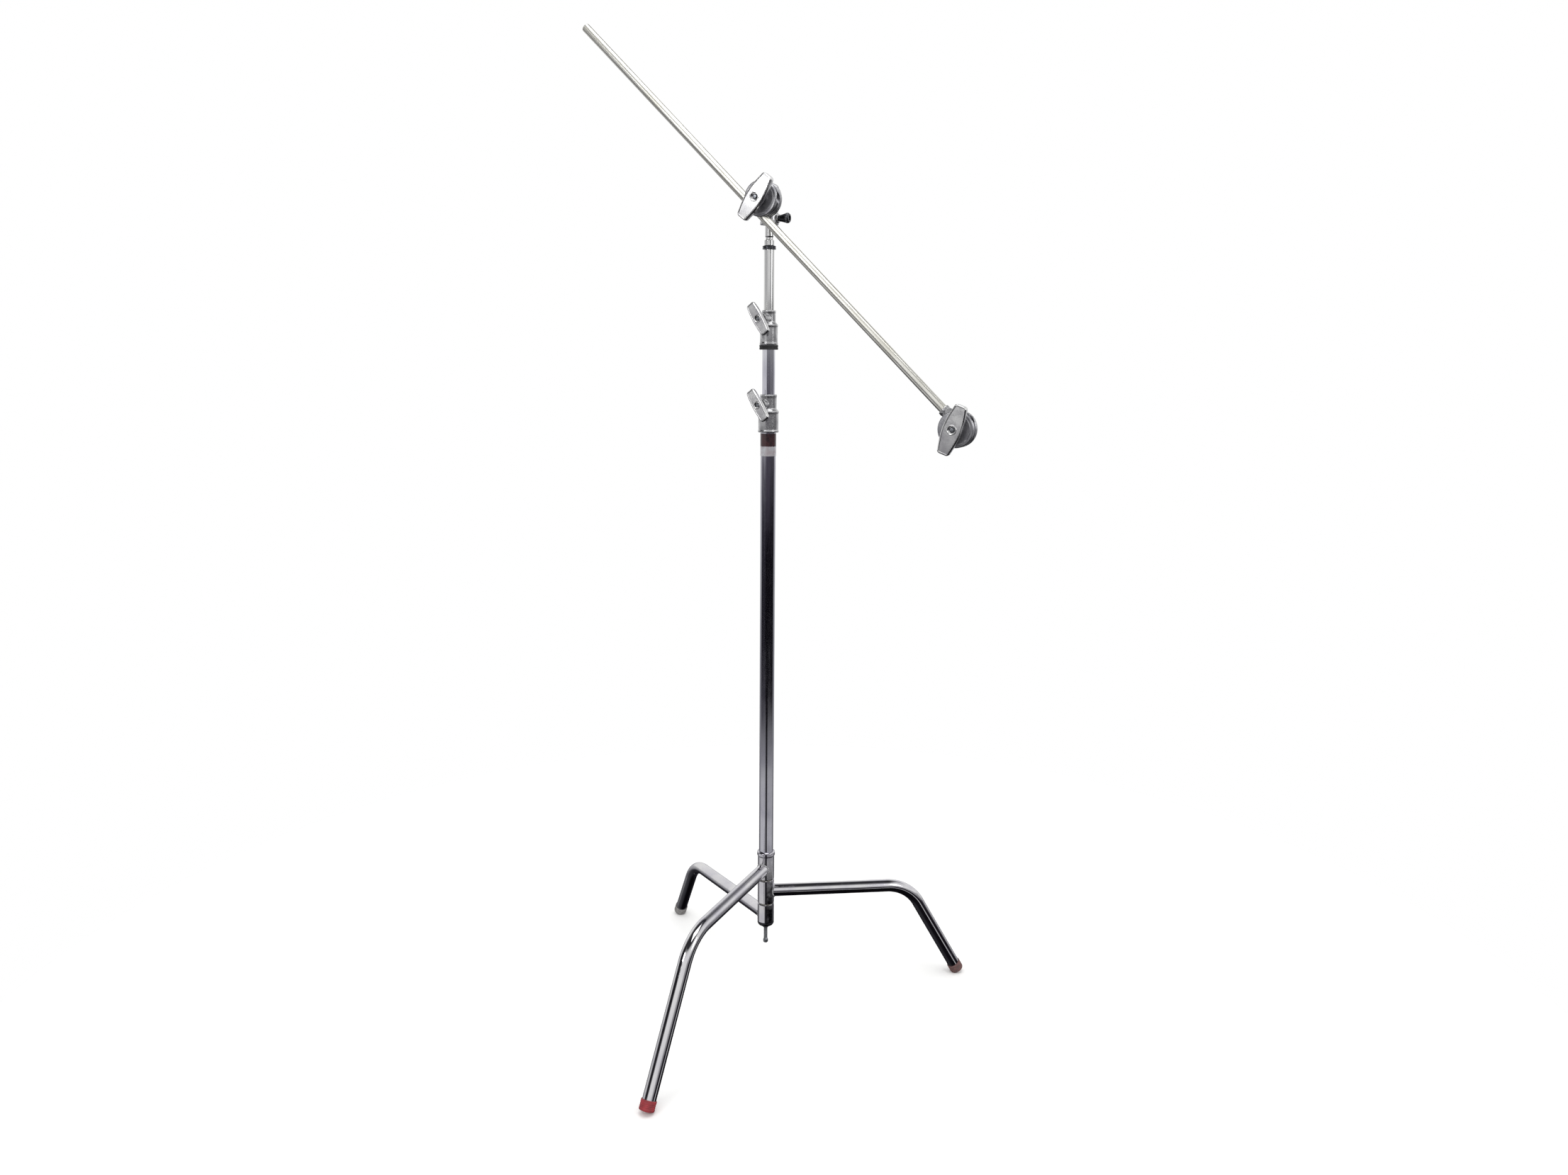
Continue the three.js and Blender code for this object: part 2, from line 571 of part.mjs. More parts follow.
/** Lock of the receiver: a pad on the pin, a screw and a flared knob. */
function addReceiverLock(head) {
  const lock = subGroup(head, { at: [0, 0, RECEIVER.lock] });
  const padStart = PIN.r + GAP;
  const padEnd = padStart + RECEIVER.padLength;
  addPart(lock, 'receiver_pad', bar(CLAMP.padR, padStart, padEnd, FINE, RIGHT), 'whiteNylon');
  const screw = bar(CLAMP.screwR, padEnd + GAP, KNOB.end - KNOB.crown, FINE, RIGHT);
  addPart(lock, 'receiver_screw', screw, 'zincSteel');
  const { start, end, stemR, stem, flareR, flare, crownR, crown } = KNOB;
  const knob = turned([
    [CLAMP.holeR, start], [stemR, start], [stemR, start + stem], [flareR, end - flare],
    [flareR, end - crown], [crownR, end], [CLAMP.holeR, end],
  ], FINE, RIGHT);
  addPart(lock, 'receiver_knob', knob, 'blackRubber');
}

/** Body of the head at the arm's end: a neck for the rod and a friction disc. */
function endBody() {
  const { face, backs, hubR, neckR, neck, rodStop } = END_HEAD;
  const alongRod = RIGHT.clone().negate();
  const R = HEAD.discR;
  const discBack = face - DISC.thick;
  const hub = turned([
    [0, backs], [hubR - 2, backs], [hubR, backs + 2], [hubR, discBack], [R - DISC.edge, discBack],
    [R, discBack + DISC.edge], [R, face], [0, face],
  ], DISC_SIDES, FORWARD);
  const socket = turned([
    [0, 0], [neckR, 0], [neckR, neck - 1], [neckR - 1, neck], [0, neck],
  ], SIDES, alongRod);
  return hub.add(socket)
    .subtract(bar(ARM.r + GAP, rodStop, neck + 1, SIDES, alongRod))
    .subtract(bar(BOLT.pocketR, backs - 1, backs + 5, FINE, FORWARD))
    .subtract(bar(JAW.bore, backs, face + 1, FINE, FORWARD));
}

function addEndHead(jaws) {
  const middle = stackOf(HEAD.face).middle;
  const end = subGroup(jaws, { at: [END_HEAD.x, -middle, ARM.drop] });
  addPart(end, 'end_head_body', endBody(), 'casting');
  addPart(end, 'end_head_bolt', clampBolt(END_HEAD.backs + 1, END_HEAD.face), 'zincSteel');
  addJaws(subGroup(end, { turnY: -90 - HEAD.armTilt }), 'end', END_HEAD.face);
  addMainHandle(end, 'end', END_HEAD.face, WING_TILT.end - HEAD.armTilt);
}

function addGripHead(stand) {
  const head = subGroup(stand, { at: [0, 0, HEAD.z], turnZ: HEAD.turn });
  addPart(head, 'head_body', gripBody(), 'casting');
  addPart(head, 'head_bolt', clampBolt(PIN.r + 1.3, HEAD.face), 'zincSteel');
  addReceiverLock(head);
  const jaws = subGroup(head, { turnY: HEAD.armTilt });
  addJaws(jaws, 'head', HEAD.face);
  addMainHandle(head, 'head', HEAD.face, WING_TILT.top);
  const rodAt = new THREE.Vector3(0, -stackOf(HEAD.face).middle, ARM.drop);
  const chamfer = 0.8;
  const right = ARM.left + ARM.length;
  const rod = turned([
    [0, ARM.left], [ARM.r - chamfer, ARM.left], [ARM.r, ARM.left + chamfer],
    [ARM.r, right - chamfer], [ARM.r - chamfer, right], [0, right],
  ], SIDES, RIGHT, rodAt);
  addPart(jaws, 'arm_rod', rod, 'satinSteel');
  addEndHead(jaws);
}

// ---------------------------------------------------------------- assembly

/** Moves the group so that the middle of its footprint is at the origin, on the floor. */
function centreOnFootprint(stand) {
  stand.updateMatrixWorld(true);
  const box = new THREE.Box3().setFromObject(stand, true);
  const middle = box.getCenter(new THREE.Vector3());
  stand.position.set(-middle.x, -middle.y, -box.min.z);
  stand.updateMatrixWorld(true);
}

function buildStand() {
  const stand = new THREE.Group();
  addLegs(stand);
  addSpringBase(stand);
  addColumn(stand);
  addKnuckle(stand, LOWER_KNUCKLE);
  addBumper(stand);
  addKnuckle(stand, UPPER_KNUCKLE);
  addPin(stand);
  addGripHead(stand);
  centreOnFootprint(stand);
  return stand;
}

export default buildStand();
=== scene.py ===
"""Chrome lighting stand with nesting legs, telescoping column, grip head and grip arm."""

import json
import logging
import math
from collections.abc import Callable, Iterable, Sequence
from dataclasses import dataclass, field
from enum import Enum

import bmesh
import bpy
from mathutils import Matrix, Vector


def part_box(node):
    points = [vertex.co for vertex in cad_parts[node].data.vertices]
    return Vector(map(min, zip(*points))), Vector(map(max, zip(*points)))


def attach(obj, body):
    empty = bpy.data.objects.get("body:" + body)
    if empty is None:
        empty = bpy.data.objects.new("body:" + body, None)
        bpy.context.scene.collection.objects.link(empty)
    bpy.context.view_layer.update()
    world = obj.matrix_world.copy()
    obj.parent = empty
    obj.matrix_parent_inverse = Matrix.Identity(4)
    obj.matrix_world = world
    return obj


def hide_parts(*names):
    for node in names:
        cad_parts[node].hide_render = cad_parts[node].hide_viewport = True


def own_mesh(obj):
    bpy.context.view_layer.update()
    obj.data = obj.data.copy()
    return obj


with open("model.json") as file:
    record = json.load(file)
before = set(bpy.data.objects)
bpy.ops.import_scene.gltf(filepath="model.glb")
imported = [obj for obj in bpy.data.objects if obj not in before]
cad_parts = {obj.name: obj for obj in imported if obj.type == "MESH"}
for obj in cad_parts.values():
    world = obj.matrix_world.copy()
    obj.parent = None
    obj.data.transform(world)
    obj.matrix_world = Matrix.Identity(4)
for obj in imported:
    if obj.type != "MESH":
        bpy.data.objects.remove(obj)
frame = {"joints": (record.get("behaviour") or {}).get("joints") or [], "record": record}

log = logging.getLogger("stand")

MM = 0.001  # one millimetre, in the scene's metres
GAP = 0.3  # clearance between neighbouring pieces, mm
WALL = 1.5  # wall of the column tubes, mm
SIDES = 96  # sides of a turned piece
SMALL_SIDES = 48  # sides of a screw or a pin
SWEEP_SIDES = 64  # sides of a bent tube
SUPPORT = 0.5  # distance of a supporting ring from the end of a straight run, mm
THREAD = 0.42  # radius of the wire that stands for a clamp screw's thread, mm
PITCH = 1.25  # pitch of that thread, mm
BOLT_THREAD = 0.5  # the same for the jaws' bolts
BOLT_PITCH = 1.5
SCREW_R = 4.0  # clamp screws and the pin lock's screw, mm
SCREW_BORE = 4.3  # the holes that they run in
PAD_R = 3.8  # the pads on their tips
BOLT_BORE = 5.3  # hole of a jaw bolt in a head's casting
BOLT_RECESS = 7.4  # recess of its head there
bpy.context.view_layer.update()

Outline = list[tuple[float, float]]
Node = bpy.types.Node
Mesh = bpy.types.Mesh


class Along(Enum):
    """Direction of a turned piece's axis in its own frame."""

    UP = Matrix.Identity(4)
    FORWARD = Matrix.Rotation(math.radians(90), 4, "X")
    RIGHT = Matrix.Rotation(math.radians(90), 4, "Y")
    LEFT = Matrix.Rotation(math.radians(-90), 4, "Y")


# ---------------------------------------------------------------- places taken from the frame


def joint(name: str) -> dict:
    """One joint of the record by its name."""
    return next(j for j in frame["joints"] if j["name"] == name)


def column_axis() -> Vector:
    """Foot of the column's axis on the floor, in metres."""
    low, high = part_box("column_tube")
    return Vector(((low.x + high.x) / 2, (low.y + high.y) / 2, 0))


def frame_at(origin: Sequence[float], forward: Sequence[float] = (0, -1, 0), tilt: float = 0) -> Matrix:
    """Millimetre frame at a place, with -Y along a horizontal axis.

    Args:
        origin: the frame's zero, in metres.
        forward: the horizontal direction of the frame's -Y.
        tilt: turn about that axis, in degrees, that takes the frame's X downwards.

    Returns:
        The matrix from the frame's millimetres to the row's metres.
    """
    turn = Matrix.Rotation(math.atan2(forward[0], -forward[1]), 4, "Z")
    lean = Matrix.Rotation(math.radians(tilt), 4, "Y")
    return Matrix.Translation(Vector(origin)) @ turn @ lean @ Matrix.Scale(MM, 4)


def lift(place: Matrix, x: float = 0, y: float = 0, z: float = 0) -> Matrix:
    """The same frame moved by millimetres along its own axes."""
    return place @ Matrix.Translation((x, y, z))


# ---------------------------------------------------------------- meshes


def rounded(outline: Outline, by: float, steps: int = 3) -> Outline:
    """Rounds an outline's corners that stand off the axis.

    Args:
        outline: [radius, distance] corners in order.
        by: how far from each corner its arc starts, in millimetres.
        steps: points on each arc, less one.

    Returns:
        The outline with an arc in place of each corner.
    """
    closed = outline[0][0] > 0
    count = len(outline)
    result: Outline = []
    for i, corner in enumerate(outline):
        if corner[0] <= 0 or (not closed and i in (0, count - 1)):
            result.append(corner)
            continue
        here = Vector(corner)
        before, after = Vector(outline[i - 1]) - here, Vector(outline[(i + 1) % count]) - here
        reach = min(by, 0.45 * before.length, 0.45 * after.length)
        start, end = here + before.normalized() * reach, here + after.normalized() * reach
        for k in range(steps + 1):
            t = k / steps
            result.append(tuple(start * (1 - t) ** 2 + here * 2 * t * (1 - t) + end * t * t))
    return result


def supported(outline: Outline, gap: float = SUPPORT) -> Outline:
    """Adds a ring close to both ends of each long straight run, so that the run shades as straight.

    Args:
        outline: [radius, distance] points in order, with their corners already rounded.
        gap: distance of the added points from the ends of the run, in millimetres.

    Returns:
        The outline with those points added.
    """
    closed = outline[0][0] > 0
    result: Outline = []
    for i, point in enumerate(outline):
        result.append(point)
        if i == len(outline) - 1 and not closed:
            break
        here, there = Vector(point), Vector(outline[(i + 1) % len(outline)])
        if (there - here).length > 6 * gap:
            step = (there - here).normalized() * gap
            result += [tuple(added) for added in (here + step, there - step) if added.x > 2 * gap]
    return result


def finished(bm: bmesh.types.BMesh, name: str) -> Mesh:
    """Merges doubles, turns the faces outwards and returns the mesh.

    Args:
        bm: the mesh in progress, freed here.
        name: name of the result.

    Returns:
        The new mesh datablock.
    """
    bmesh.ops.remove_doubles(bm, verts=bm.verts, dist=1e-4)
    bmesh.ops.recalc_face_normals(bm, faces=bm.faces)
    mesh = bpy.data.meshes.new(name)
    bm.to_mesh(mesh)
    bm.free()
    return mesh


def turned(outline: Outline, along: Along = Along.UP, sides: int = SIDES, soft: float = 0.4) -> Mesh:
    """Turned solid with softened corners. Off the axis its outline closes itself.

    Args:
        outline: [radius, distance] corners in order.
        along: direction of the axis.
        sides: sides of the turned surface.
        soft: rounding of the corners, in millimetres.

    Returns:
        The closed mesh, in millimetres.
    """
    points = supported(rounded(outline, soft)) if soft else outline
    bm = bmesh.new()
    rings = []
    for r, d in points:
        if r <= 0:
            rings.append([bm.verts.new((0, 0, d))] * sides)
            continue
        angles = [2 * math.pi * i / sides for i in range(sides)]
        rings.append([bm.verts.new((r * math.cos(a), r * math.sin(a), d)) for a in angles])
    pairs = list(zip(rings, rings[1:]))
    if outline[0][0] > 0:
        pairs.append((rings[-1], rings[0]))
    for low, high in pairs:
        for i in range(sides):
            k = (i + 1) % sides
            corners = list(dict.fromkeys((low[i], low[k], high[k], high[i])))
            if len(corners) > 2:
                bm.faces.new(corners)
    bm.transform(along.value)
    return finished(bm, "turned")


def bar(r: float, start: float, end: float, along: Along = Along.UP, sides: int = SIDES, soft: float = 0) -> Mesh:
    """Round bar between two distances, mostly used as a cutter."""
    return turned([(0, start), (r, start), (r, end), (0, end)], along, sides, soft)


def tube(outer: float, inner: float, start: float, end: float, along: Along = Along.UP, soft: float = 0.4) -> Mesh:
    """Round tube between two distances."""
    return turned([(inner, start), (outer, start), (outer, end), (inner, end)], along, soft=soft)


def moved(mesh: Mesh, matrix: Matrix) -> Mesh:
    """The same mesh after a move."""
    mesh.transform(matrix)
    return mesh


def joined(meshes: Iterable[Mesh], name: str = "joined") -> Mesh:
    """One mesh from several of the same material, which are removed.

    Args:
        meshes: meshes to join; the first with a material gives it.
        name: name of the result.

    Returns:
        The joined mesh.
    """
    bm = bmesh.new()
    finish: list[bpy.types.Material] = []
    for mesh in meshes:
        bm.from_mesh(mesh)
        finish = finish or list(mesh.materials)
        bpy.data.meshes.remove(mesh)
    result = bpy.data.meshes.new(name)
    bm.to_mesh(result)
    bm.free()
    for material in finish:
        result.materials.append(material)
    return result


def through_modifiers(mesh: Mesh, add: Callable[[bpy.types.Object], None]) -> Mesh:
    """Runs modifiers over a mesh and returns the plain result.

    Args:
        mesh: the mesh they start from, removed afterwards.
        add: puts the modifiers on the object it is given.

    Returns:
        The evaluated mesh, with no modifier left.
    """
    obj = bpy.data.objects.new("bench", mesh)
    bpy.context.scene.collection.objects.link(obj)
    add(obj)
    graph = bpy.context.evaluated_depsgraph_get()
    result = bpy.data.meshes.new_from_object(obj.evaluated_get(graph))
    bpy.data.objects.remove(obj)
    bpy.data.meshes.remove(mesh)
    return result


def carved(base: Mesh, cuts: Sequence[Mesh] = (), adds: Sequence[Mesh] = ()) -> Mesh:
    """Adds solids to a base, then cuts others from it.

    Args:
        base: the closed mesh worked on.
        cuts: closed meshes to take away.
        adds: closed meshes to fuse on first.

    Returns:
        The resulting closed mesh.
    """
    helpers = []

    def boolean(obj: bpy.types.Object) -> None:
        """Puts one boolean modifier on for each helper solid.

        Args:
            obj: the object that is given it.
        """
        for mesh, operation in [(m, "UNION") for m in adds] + [(m, "DIFFERENCE") for m in cuts]:
            helper = bpy.data.objects.new("helper", mesh)
            bpy.context.scene.collection.objects.link(helper)
            helpers.append(helper)
            modifier = obj.modifiers.new("work", "BOOLEAN")
            modifier.object, modifier.operation, modifier.solver = helper, operation, "EXACT"

    result = through_modifiers(base, boolean)
    for helper in helpers:
        bpy.data.objects.remove(helper)
    return result


def cast(solids: Sequence[Mesh], cuts: Sequence[Mesh], voxel: float = 0.7, passes: int = 5) -> Mesh:
    """Casting: overlapping solids fused with soft fillets, then machined.

    Args:
        solids: closed meshes that overlap.
        cuts: crisp machined openings.
        voxel: size of the fusing grid, in millimetres.
        passes: smoothing passes, which make the fillets.

    Returns:
        The closed mesh.
    """

    def fuse(obj: bpy.types.Object) -> None:
        """Fuses the solids on a fine grid and softens their meeting lines.

        Args:
            obj: the object that is given it.
        """
        remesh = obj.modifiers.new("fuse", "REMESH")
        remesh.mode, remesh.voxel_size = "VOXEL", voxel
        smooth = obj.modifiers.new("fillet", "SMOOTH")
        smooth.iterations = passes

    return carved(through_modifiers(joined(solids), fuse), cuts)


# ---------------------------------------------------------------- repeated detail in Geometry Nodes


def add_node(tree: bpy.types.NodeTree, kind: str, settings: dict | None = None, links: dict | None = None) -> Node:
    """Adds a node with its settings and links.

    Args:
        tree: the node tree.
        kind: the node's type name.
        settings: attributes of the node, or input sockets where the key is an input's name or number.
        links: sources by the name or number of the input that they feed.

    Returns:
        The new node.
    """
    node = tree.nodes.new(kind)
    for key, value in (settings or {}).items():
        if isinstance(key, str) and hasattr(node, key):
            setattr(node, key, value)
        else:
            node.inputs[key].default_value = value
    for key, source in (links or {}).items():
        tree.links.new(source, node.inputs[key])
    return node


class Repeat(Enum):
    """Trees for detail that repeats."""

    COIL = "coil"
    STUDS = "studs"
    WELD = "weld"


SOCKETS = {
    Repeat.COIL: {"Radius": "Float", "Wire": "Float", "Height": "Float", "Turns": "Float"},
    Repeat.STUDS: {"Count": "Int", "Radius": "Float", "Size": "Vector"},
    Repeat.WELD: {"Route": "Object", "Count": "Int", "Size": "Vector", "Seed": "Int"},
}


def new_tree(kind: Repeat) -> tuple[bpy.types.NodeTree, Node]:
    """Empty tree with its named inputs and a geometry output.

    Args:
        kind: which tree.

    Returns:
        The tree and its input node.
    """
    tree = bpy.data.node_groups.new(kind.value, "GeometryNodeTree")
    for name, socket in SOCKETS[kind].items():
        tree.interface.new_socket(name, in_out="INPUT", socket_type=f"NodeSocket{socket}")
    tree.interface.new_socket("Geometry", in_out="OUTPUT", socket_type="NodeSocketGeometry")
    return tree, add_node(tree, "NodeGroupInput")


def close_tree(tree: bpy.types.NodeTree, geometry: bpy.types.NodeSocket, material: bpy.types.Material) -> None:
    """Ends a tree in Realize Instances and Set Material.

    Args:
        tree: the tree.
        geometry: the geometry that it made.
        material: the material set on it.
    """
    real = add_node(tree, "GeometryNodeRealizeInstances", links={"Geometry": geometry})
    painted = add_node(tree, "GeometryNodeSetMaterial", {"Material": material}, {"Geometry": real.outputs[0]})
    add_node(tree, "NodeGroupOutput", links={0: painted.outputs[0]})


def coil_tree(material: bpy.types.Material) -> bpy.types.NodeTree:
    """Round wire wound on a cylinder: a spring, or a screw's thread sunk half into its core.

    Args:
        material: the material that the tree sets.

    Returns:
        The finished tree.
    """
    tree, inputs = new_tree(Repeat.COIL)
    out = inputs.outputs
    spiral = add_node(tree, "GeometryNodeCurveSpiral", {"Resolution": 28}, {
        "Rotations": out["Turns"], "Start Radius": out["Radius"], "End Radius": out["Radius"],
        "Height": out["Height"],
    })
    section = add_node(tree, "GeometryNodeCurvePrimitiveCircle", {"Resolution": 8}, {"Radius": out["Wire"]})
    wire = add_node(tree, "GeometryNodeCurveToMesh", {"Fill Caps": True}, {
        "Curve": spiral.outputs[0], "Profile Curve": section.outputs[0],
    })
    close_tree(tree, wire.outputs[0], material)
    return tree


def stud_tree(material: bpy.types.Material) -> bpy.types.NodeTree:
    """Rounded studs or flutes set evenly round a circle.

    Args:
        material: the material that the tree sets.

    Returns:
        The finished tree.
    """
    tree, inputs = new_tree(Repeat.STUDS)
    out = inputs.outputs
    circle = add_node(tree, "GeometryNodeMeshCircle", links={"Vertices": out["Count"], "Radius": out["Radius"]})
    place = add_node(tree, "GeometryNodeInputPosition")
    turn = add_node(tree, "FunctionNodeAlignRotationToVector", {"axis": "X"}, {"Vector": place.outputs[0]})
    stud = add_node(tree, "GeometryNodeMeshIcoSphere", {"Radius": 1.0, "Subdivisions": 2})
    copies = add_node(tree, "GeometryNodeInstanceOnPoints", links={
        "Points": circle.outputs[0], "Instance": stud.outputs[0], "Rotation": turn.outputs[0],
        "Scale": out["Size"],
    })
    close_tree(tree, copies.outputs[0], material)
    return tree


def weld_tree(material: bpy.types.Material) -> bpy.types.NodeTree:
    """Overlapping ripples of a weld bead along a route.

    Args:
        material: the material that the tree sets.

    Returns:
        The finished tree.
    """
    tree, inputs = new_tree(Repeat.WELD)
    out = inputs.outputs
    route = add_node(tree, "GeometryNodeObjectInfo", {"transform_space": "ORIGINAL"}, {"Object": out["Route"]})
    even = add_node(tree, "GeometryNodeResampleCurve", links={
        "Curve": route.outputs["Geometry"], "Count": out["Count"],
    })
    tangent = add_node(tree, "GeometryNodeInputTangent")
    turn = add_node(tree, "FunctionNodeAlignRotationToVector", {"axis": "X"}, {"Vector": tangent.outputs[0]})
    random = add_node(tree, "FunctionNodeRandomValue", {"data_type": "FLOAT"}, {"Seed": out["Seed"]})
    random.inputs[2].default_value = 0.88
    random.inputs[3].default_value = 1.12
    size = add_node(tree, "ShaderNodeVectorMath", {"operation": "SCALE"}, {
        0: out["Size"], "Scale": random.outputs[1],
    })
    drop = add_node(tree, "GeometryNodeMeshIcoSphere", {"Radius": 1.0, "Subdivisions": 2})
    copies = add_node(tree, "GeometryNodeInstanceOnPoints", links={
        "Points": even.outputs[0], "Instance": drop.outputs[0], "Rotation": turn.outputs[0],
        "Scale": size.outputs[0],
    })
    close_tree(tree, copies.outputs[0], material)
    return tree


TREES = {Repeat.COIL: coil_tree, Repeat.STUDS: stud_tree, Repeat.WELD: weld_tree}


def grown(kind: Repeat, material: bpy.types.Material, values: dict) -> Mesh:
    """Result of a tree with its inputs set.

    Args:
        kind: which tree.
        material: material that the tree sets.
        values: inputs by name, in millimetres.

    Returns:
        The plain mesh.
    """
    tree = TREES[kind](material)
    identifiers = {item.name: item.identifier for item in tree.interface.items_tree if item.in_out == "INPUT"}

    def add(obj: bpy.types.Object) -> None:
        """Puts the tree on the object with its inputs set.

        Args:
            obj: the object that is given it.
        """
        modifier = obj.modifiers.new("grow", "NODES")
        modifier.node_group = tree
        for name, value in values.items():
            modifier[identifiers[name]] = value

    mesh = through_modifiers(bpy.data.meshes.new("seed"), add)
    bpy.data.node_groups.remove(tree)
    return mesh


# ---------------------------------------------------------------- finishes


def linear(code: str) -> tuple[float, float, float, float]:
    """Linear colour of an sRGB hex value."""
    parts = [int(code[i:i + 2], 16) / 255 for i in (1, 3, 5)]
    return (*((c / 12.92 if c <= 0.04045 else ((c + 0.055) / 1.055) ** 2.4) for c in parts), 1.0)


class Run(Enum):
    """Which way the fine lines of a surface run."""

    NONE = (1, 1, 1)
    UPRIGHT = (1, 1, 0.02)
    ALONG_ARM = (0.02, 1, 1)


@dataclass(frozen=True)
class Finish:
    """A finish drawn from patches, fine lines or grain, and lighter convex edges that are partly worn and partly a
    painted highlight.

    Each size is the real one in millimetres.
    """

    name: str
    base: str
    aged: str
    # edge: colour of the convex edges, partly worn plating or skin and partly a painted highlight
    edge: str
    metallic: float = 1.0
    smooth: float = 0.08
    rough: float = 0.2
    patch: float = 40.0
    grain: float = 1.2
    depth: float = 0.02
    relief: float = 0.3
    run: Run = Run.NONE
    turn: float = 0.0
    lean: float = 0.0
    edge_wear_and_highlight: float = 0.6
    specks: float = 0.25
    coat: float = 0.0

    def material(self) -> bpy.types.Material:
        """Builds the finish as a node material.

        Returns:
            The material.
        """
        material = bpy.data.materials.new(self.name)
        material.use_nodes = True
        tree = material.node_tree
        tree.nodes.clear()
        where = add_node(tree, "ShaderNodeTexCoord").outputs["Object"]
        # The lines are turned to the arm's heading first, then leaned to its fall.
        turned_to = add_node(tree, "ShaderNodeMapping", {"Rotation": (0, 0, -math.radians(self.turn))}, {0: where})
        leaned = add_node(tree, "ShaderNodeMapping", {"Rotation": (0, -math.radians(self.lean), 0)}, {
            0: turned_to.outputs[0],
        })
        lined = add_node(tree, "ShaderNodeMapping", {"Scale": self.run.value}, {0: leaned.outputs[0]})
        patches = self.noise(tree, where, self.patch, 4.0)
        lines = self.noise(tree, lined.outputs[0], self.grain, 3.0)
        specks = self.noise(tree, where, self.grain * 1.9, 1.0)
        colour = self.colour(tree, patches, specks)
        roughness = self.roughness(tree, patches, lines)
        bump = add_node(tree, "ShaderNodeBump", {
            "Strength": self.relief, "Distance": self.depth * MM,
        }, {"Height": lines})
        shader = add_node(tree, "ShaderNodeBsdfPrincipled", {
            "Metallic": self.metallic, "Coat Weight": self.coat,
        }, {"Base Color": colour, "Roughness": roughness, "Normal": bump.outputs[0]})
        add_node(tree, "ShaderNodeOutputMaterial", links={0: shader.outputs[0]})
        return material

    def noise(self, tree: bpy.types.NodeTree, where: bpy.types.NodeSocket, size: float,
              detail: float) -> bpy.types.NodeSocket:
        """Noise whose blobs are about a size in millimetres."""
        node = add_node(tree, "ShaderNodeTexNoise", {"Scale": 1 / (size * MM), "Detail": detail}, {0: where})
        return node.outputs[0]

    def colour(self, tree: bpy.types.NodeTree, patches: bpy.types.NodeSocket,
               specks: bpy.types.NodeSocket) -> bpy.types.NodeSocket:
        """Base colour, aged in patches, specked with handling marks, and lighter on convex edges: partly worn, partly
        a painted highlight.

        Args:
            tree: the material's tree.
            patches: noise of the aged patches.
            specks: noise of the handling marks.

        Returns:
            The colour socket.
        """
        age = add_node(tree, "ShaderNodeMapRange", {1: 0.38, 2: 0.68, 3: 0.0, 4: 1.0}, {0: patches})
        spot = add_node(tree, "ShaderNodeMapRange", {1: 0.62, 2: 0.72, 3: 0.0, 4: self.specks}, {0: specks})
        # Painted highlight and worn edges: convex edges, found by pointiness, are mixed towards the lighter edge
        # colour.
        edge_pointiness = add_node(tree, "ShaderNodeNewGeometry").outputs["Pointiness"]
        worn_and_highlit_edges = add_node(tree, "ShaderNodeMapRange", {1: 0.52, 2: 0.60, 3: 0.0, 4: self.edge_wear_and_highlight}, {0: edge_pointiness})
        aged = self.blend(tree, age.outputs[0], linear(self.base), linear(self.aged))
        marked = self.blend(tree, spot.outputs[0], aged, linear(self.aged))
        return self.blend(tree, worn_and_highlit_edges.outputs[0], marked, linear(self.edge))

    def roughness(self, tree: bpy.types.NodeTree, patches: bpy.types.NodeSocket,
                  lines: bpy.types.NodeSocket) -> bpy.types.NodeSocket:
        """Roughness from handling patches, broken up by the fine lines.

        Args:
            tree: the material's tree.
            patches: noise of the patches.
            lines: noise of the fine lines.

        Returns:
            The roughness socket.
        """
        both = add_node(tree, "ShaderNodeMath", {"operation": "MULTIPLY"}, {0: patches, 1: lines})
        spread = add_node(tree, "ShaderNodeMapRange", {1: 0.15, 2: 0.36, 3: self.smooth, 4: self.rough}, {
            0: both.outputs[0],
        })
        return spread.outputs[0]

    @staticmethod
    def blend(tree: bpy.types.NodeTree, factor: bpy.types.NodeSocket, first: object,
              second: object) -> bpy.types.NodeSocket:
        """Mix of two colours, each a socket or a value.

        Args:
            tree: the tree to add the mix to.
            factor: how much of the second shows.
            first: a colour socket or value.
            second: the other.

        Returns:
            The mixed colour.
        """
        node = add_node(tree, "ShaderNodeMix", {"data_type": "RGBA"}, {0: factor})
        for number, value in ((6, first), (7, second)):
            if isinstance(value, bpy.types.NodeSocket):
                tree.links.new(value, node.inputs[number])
            else:
                node.inputs[number].default_value = value
        return node.outputs[2]


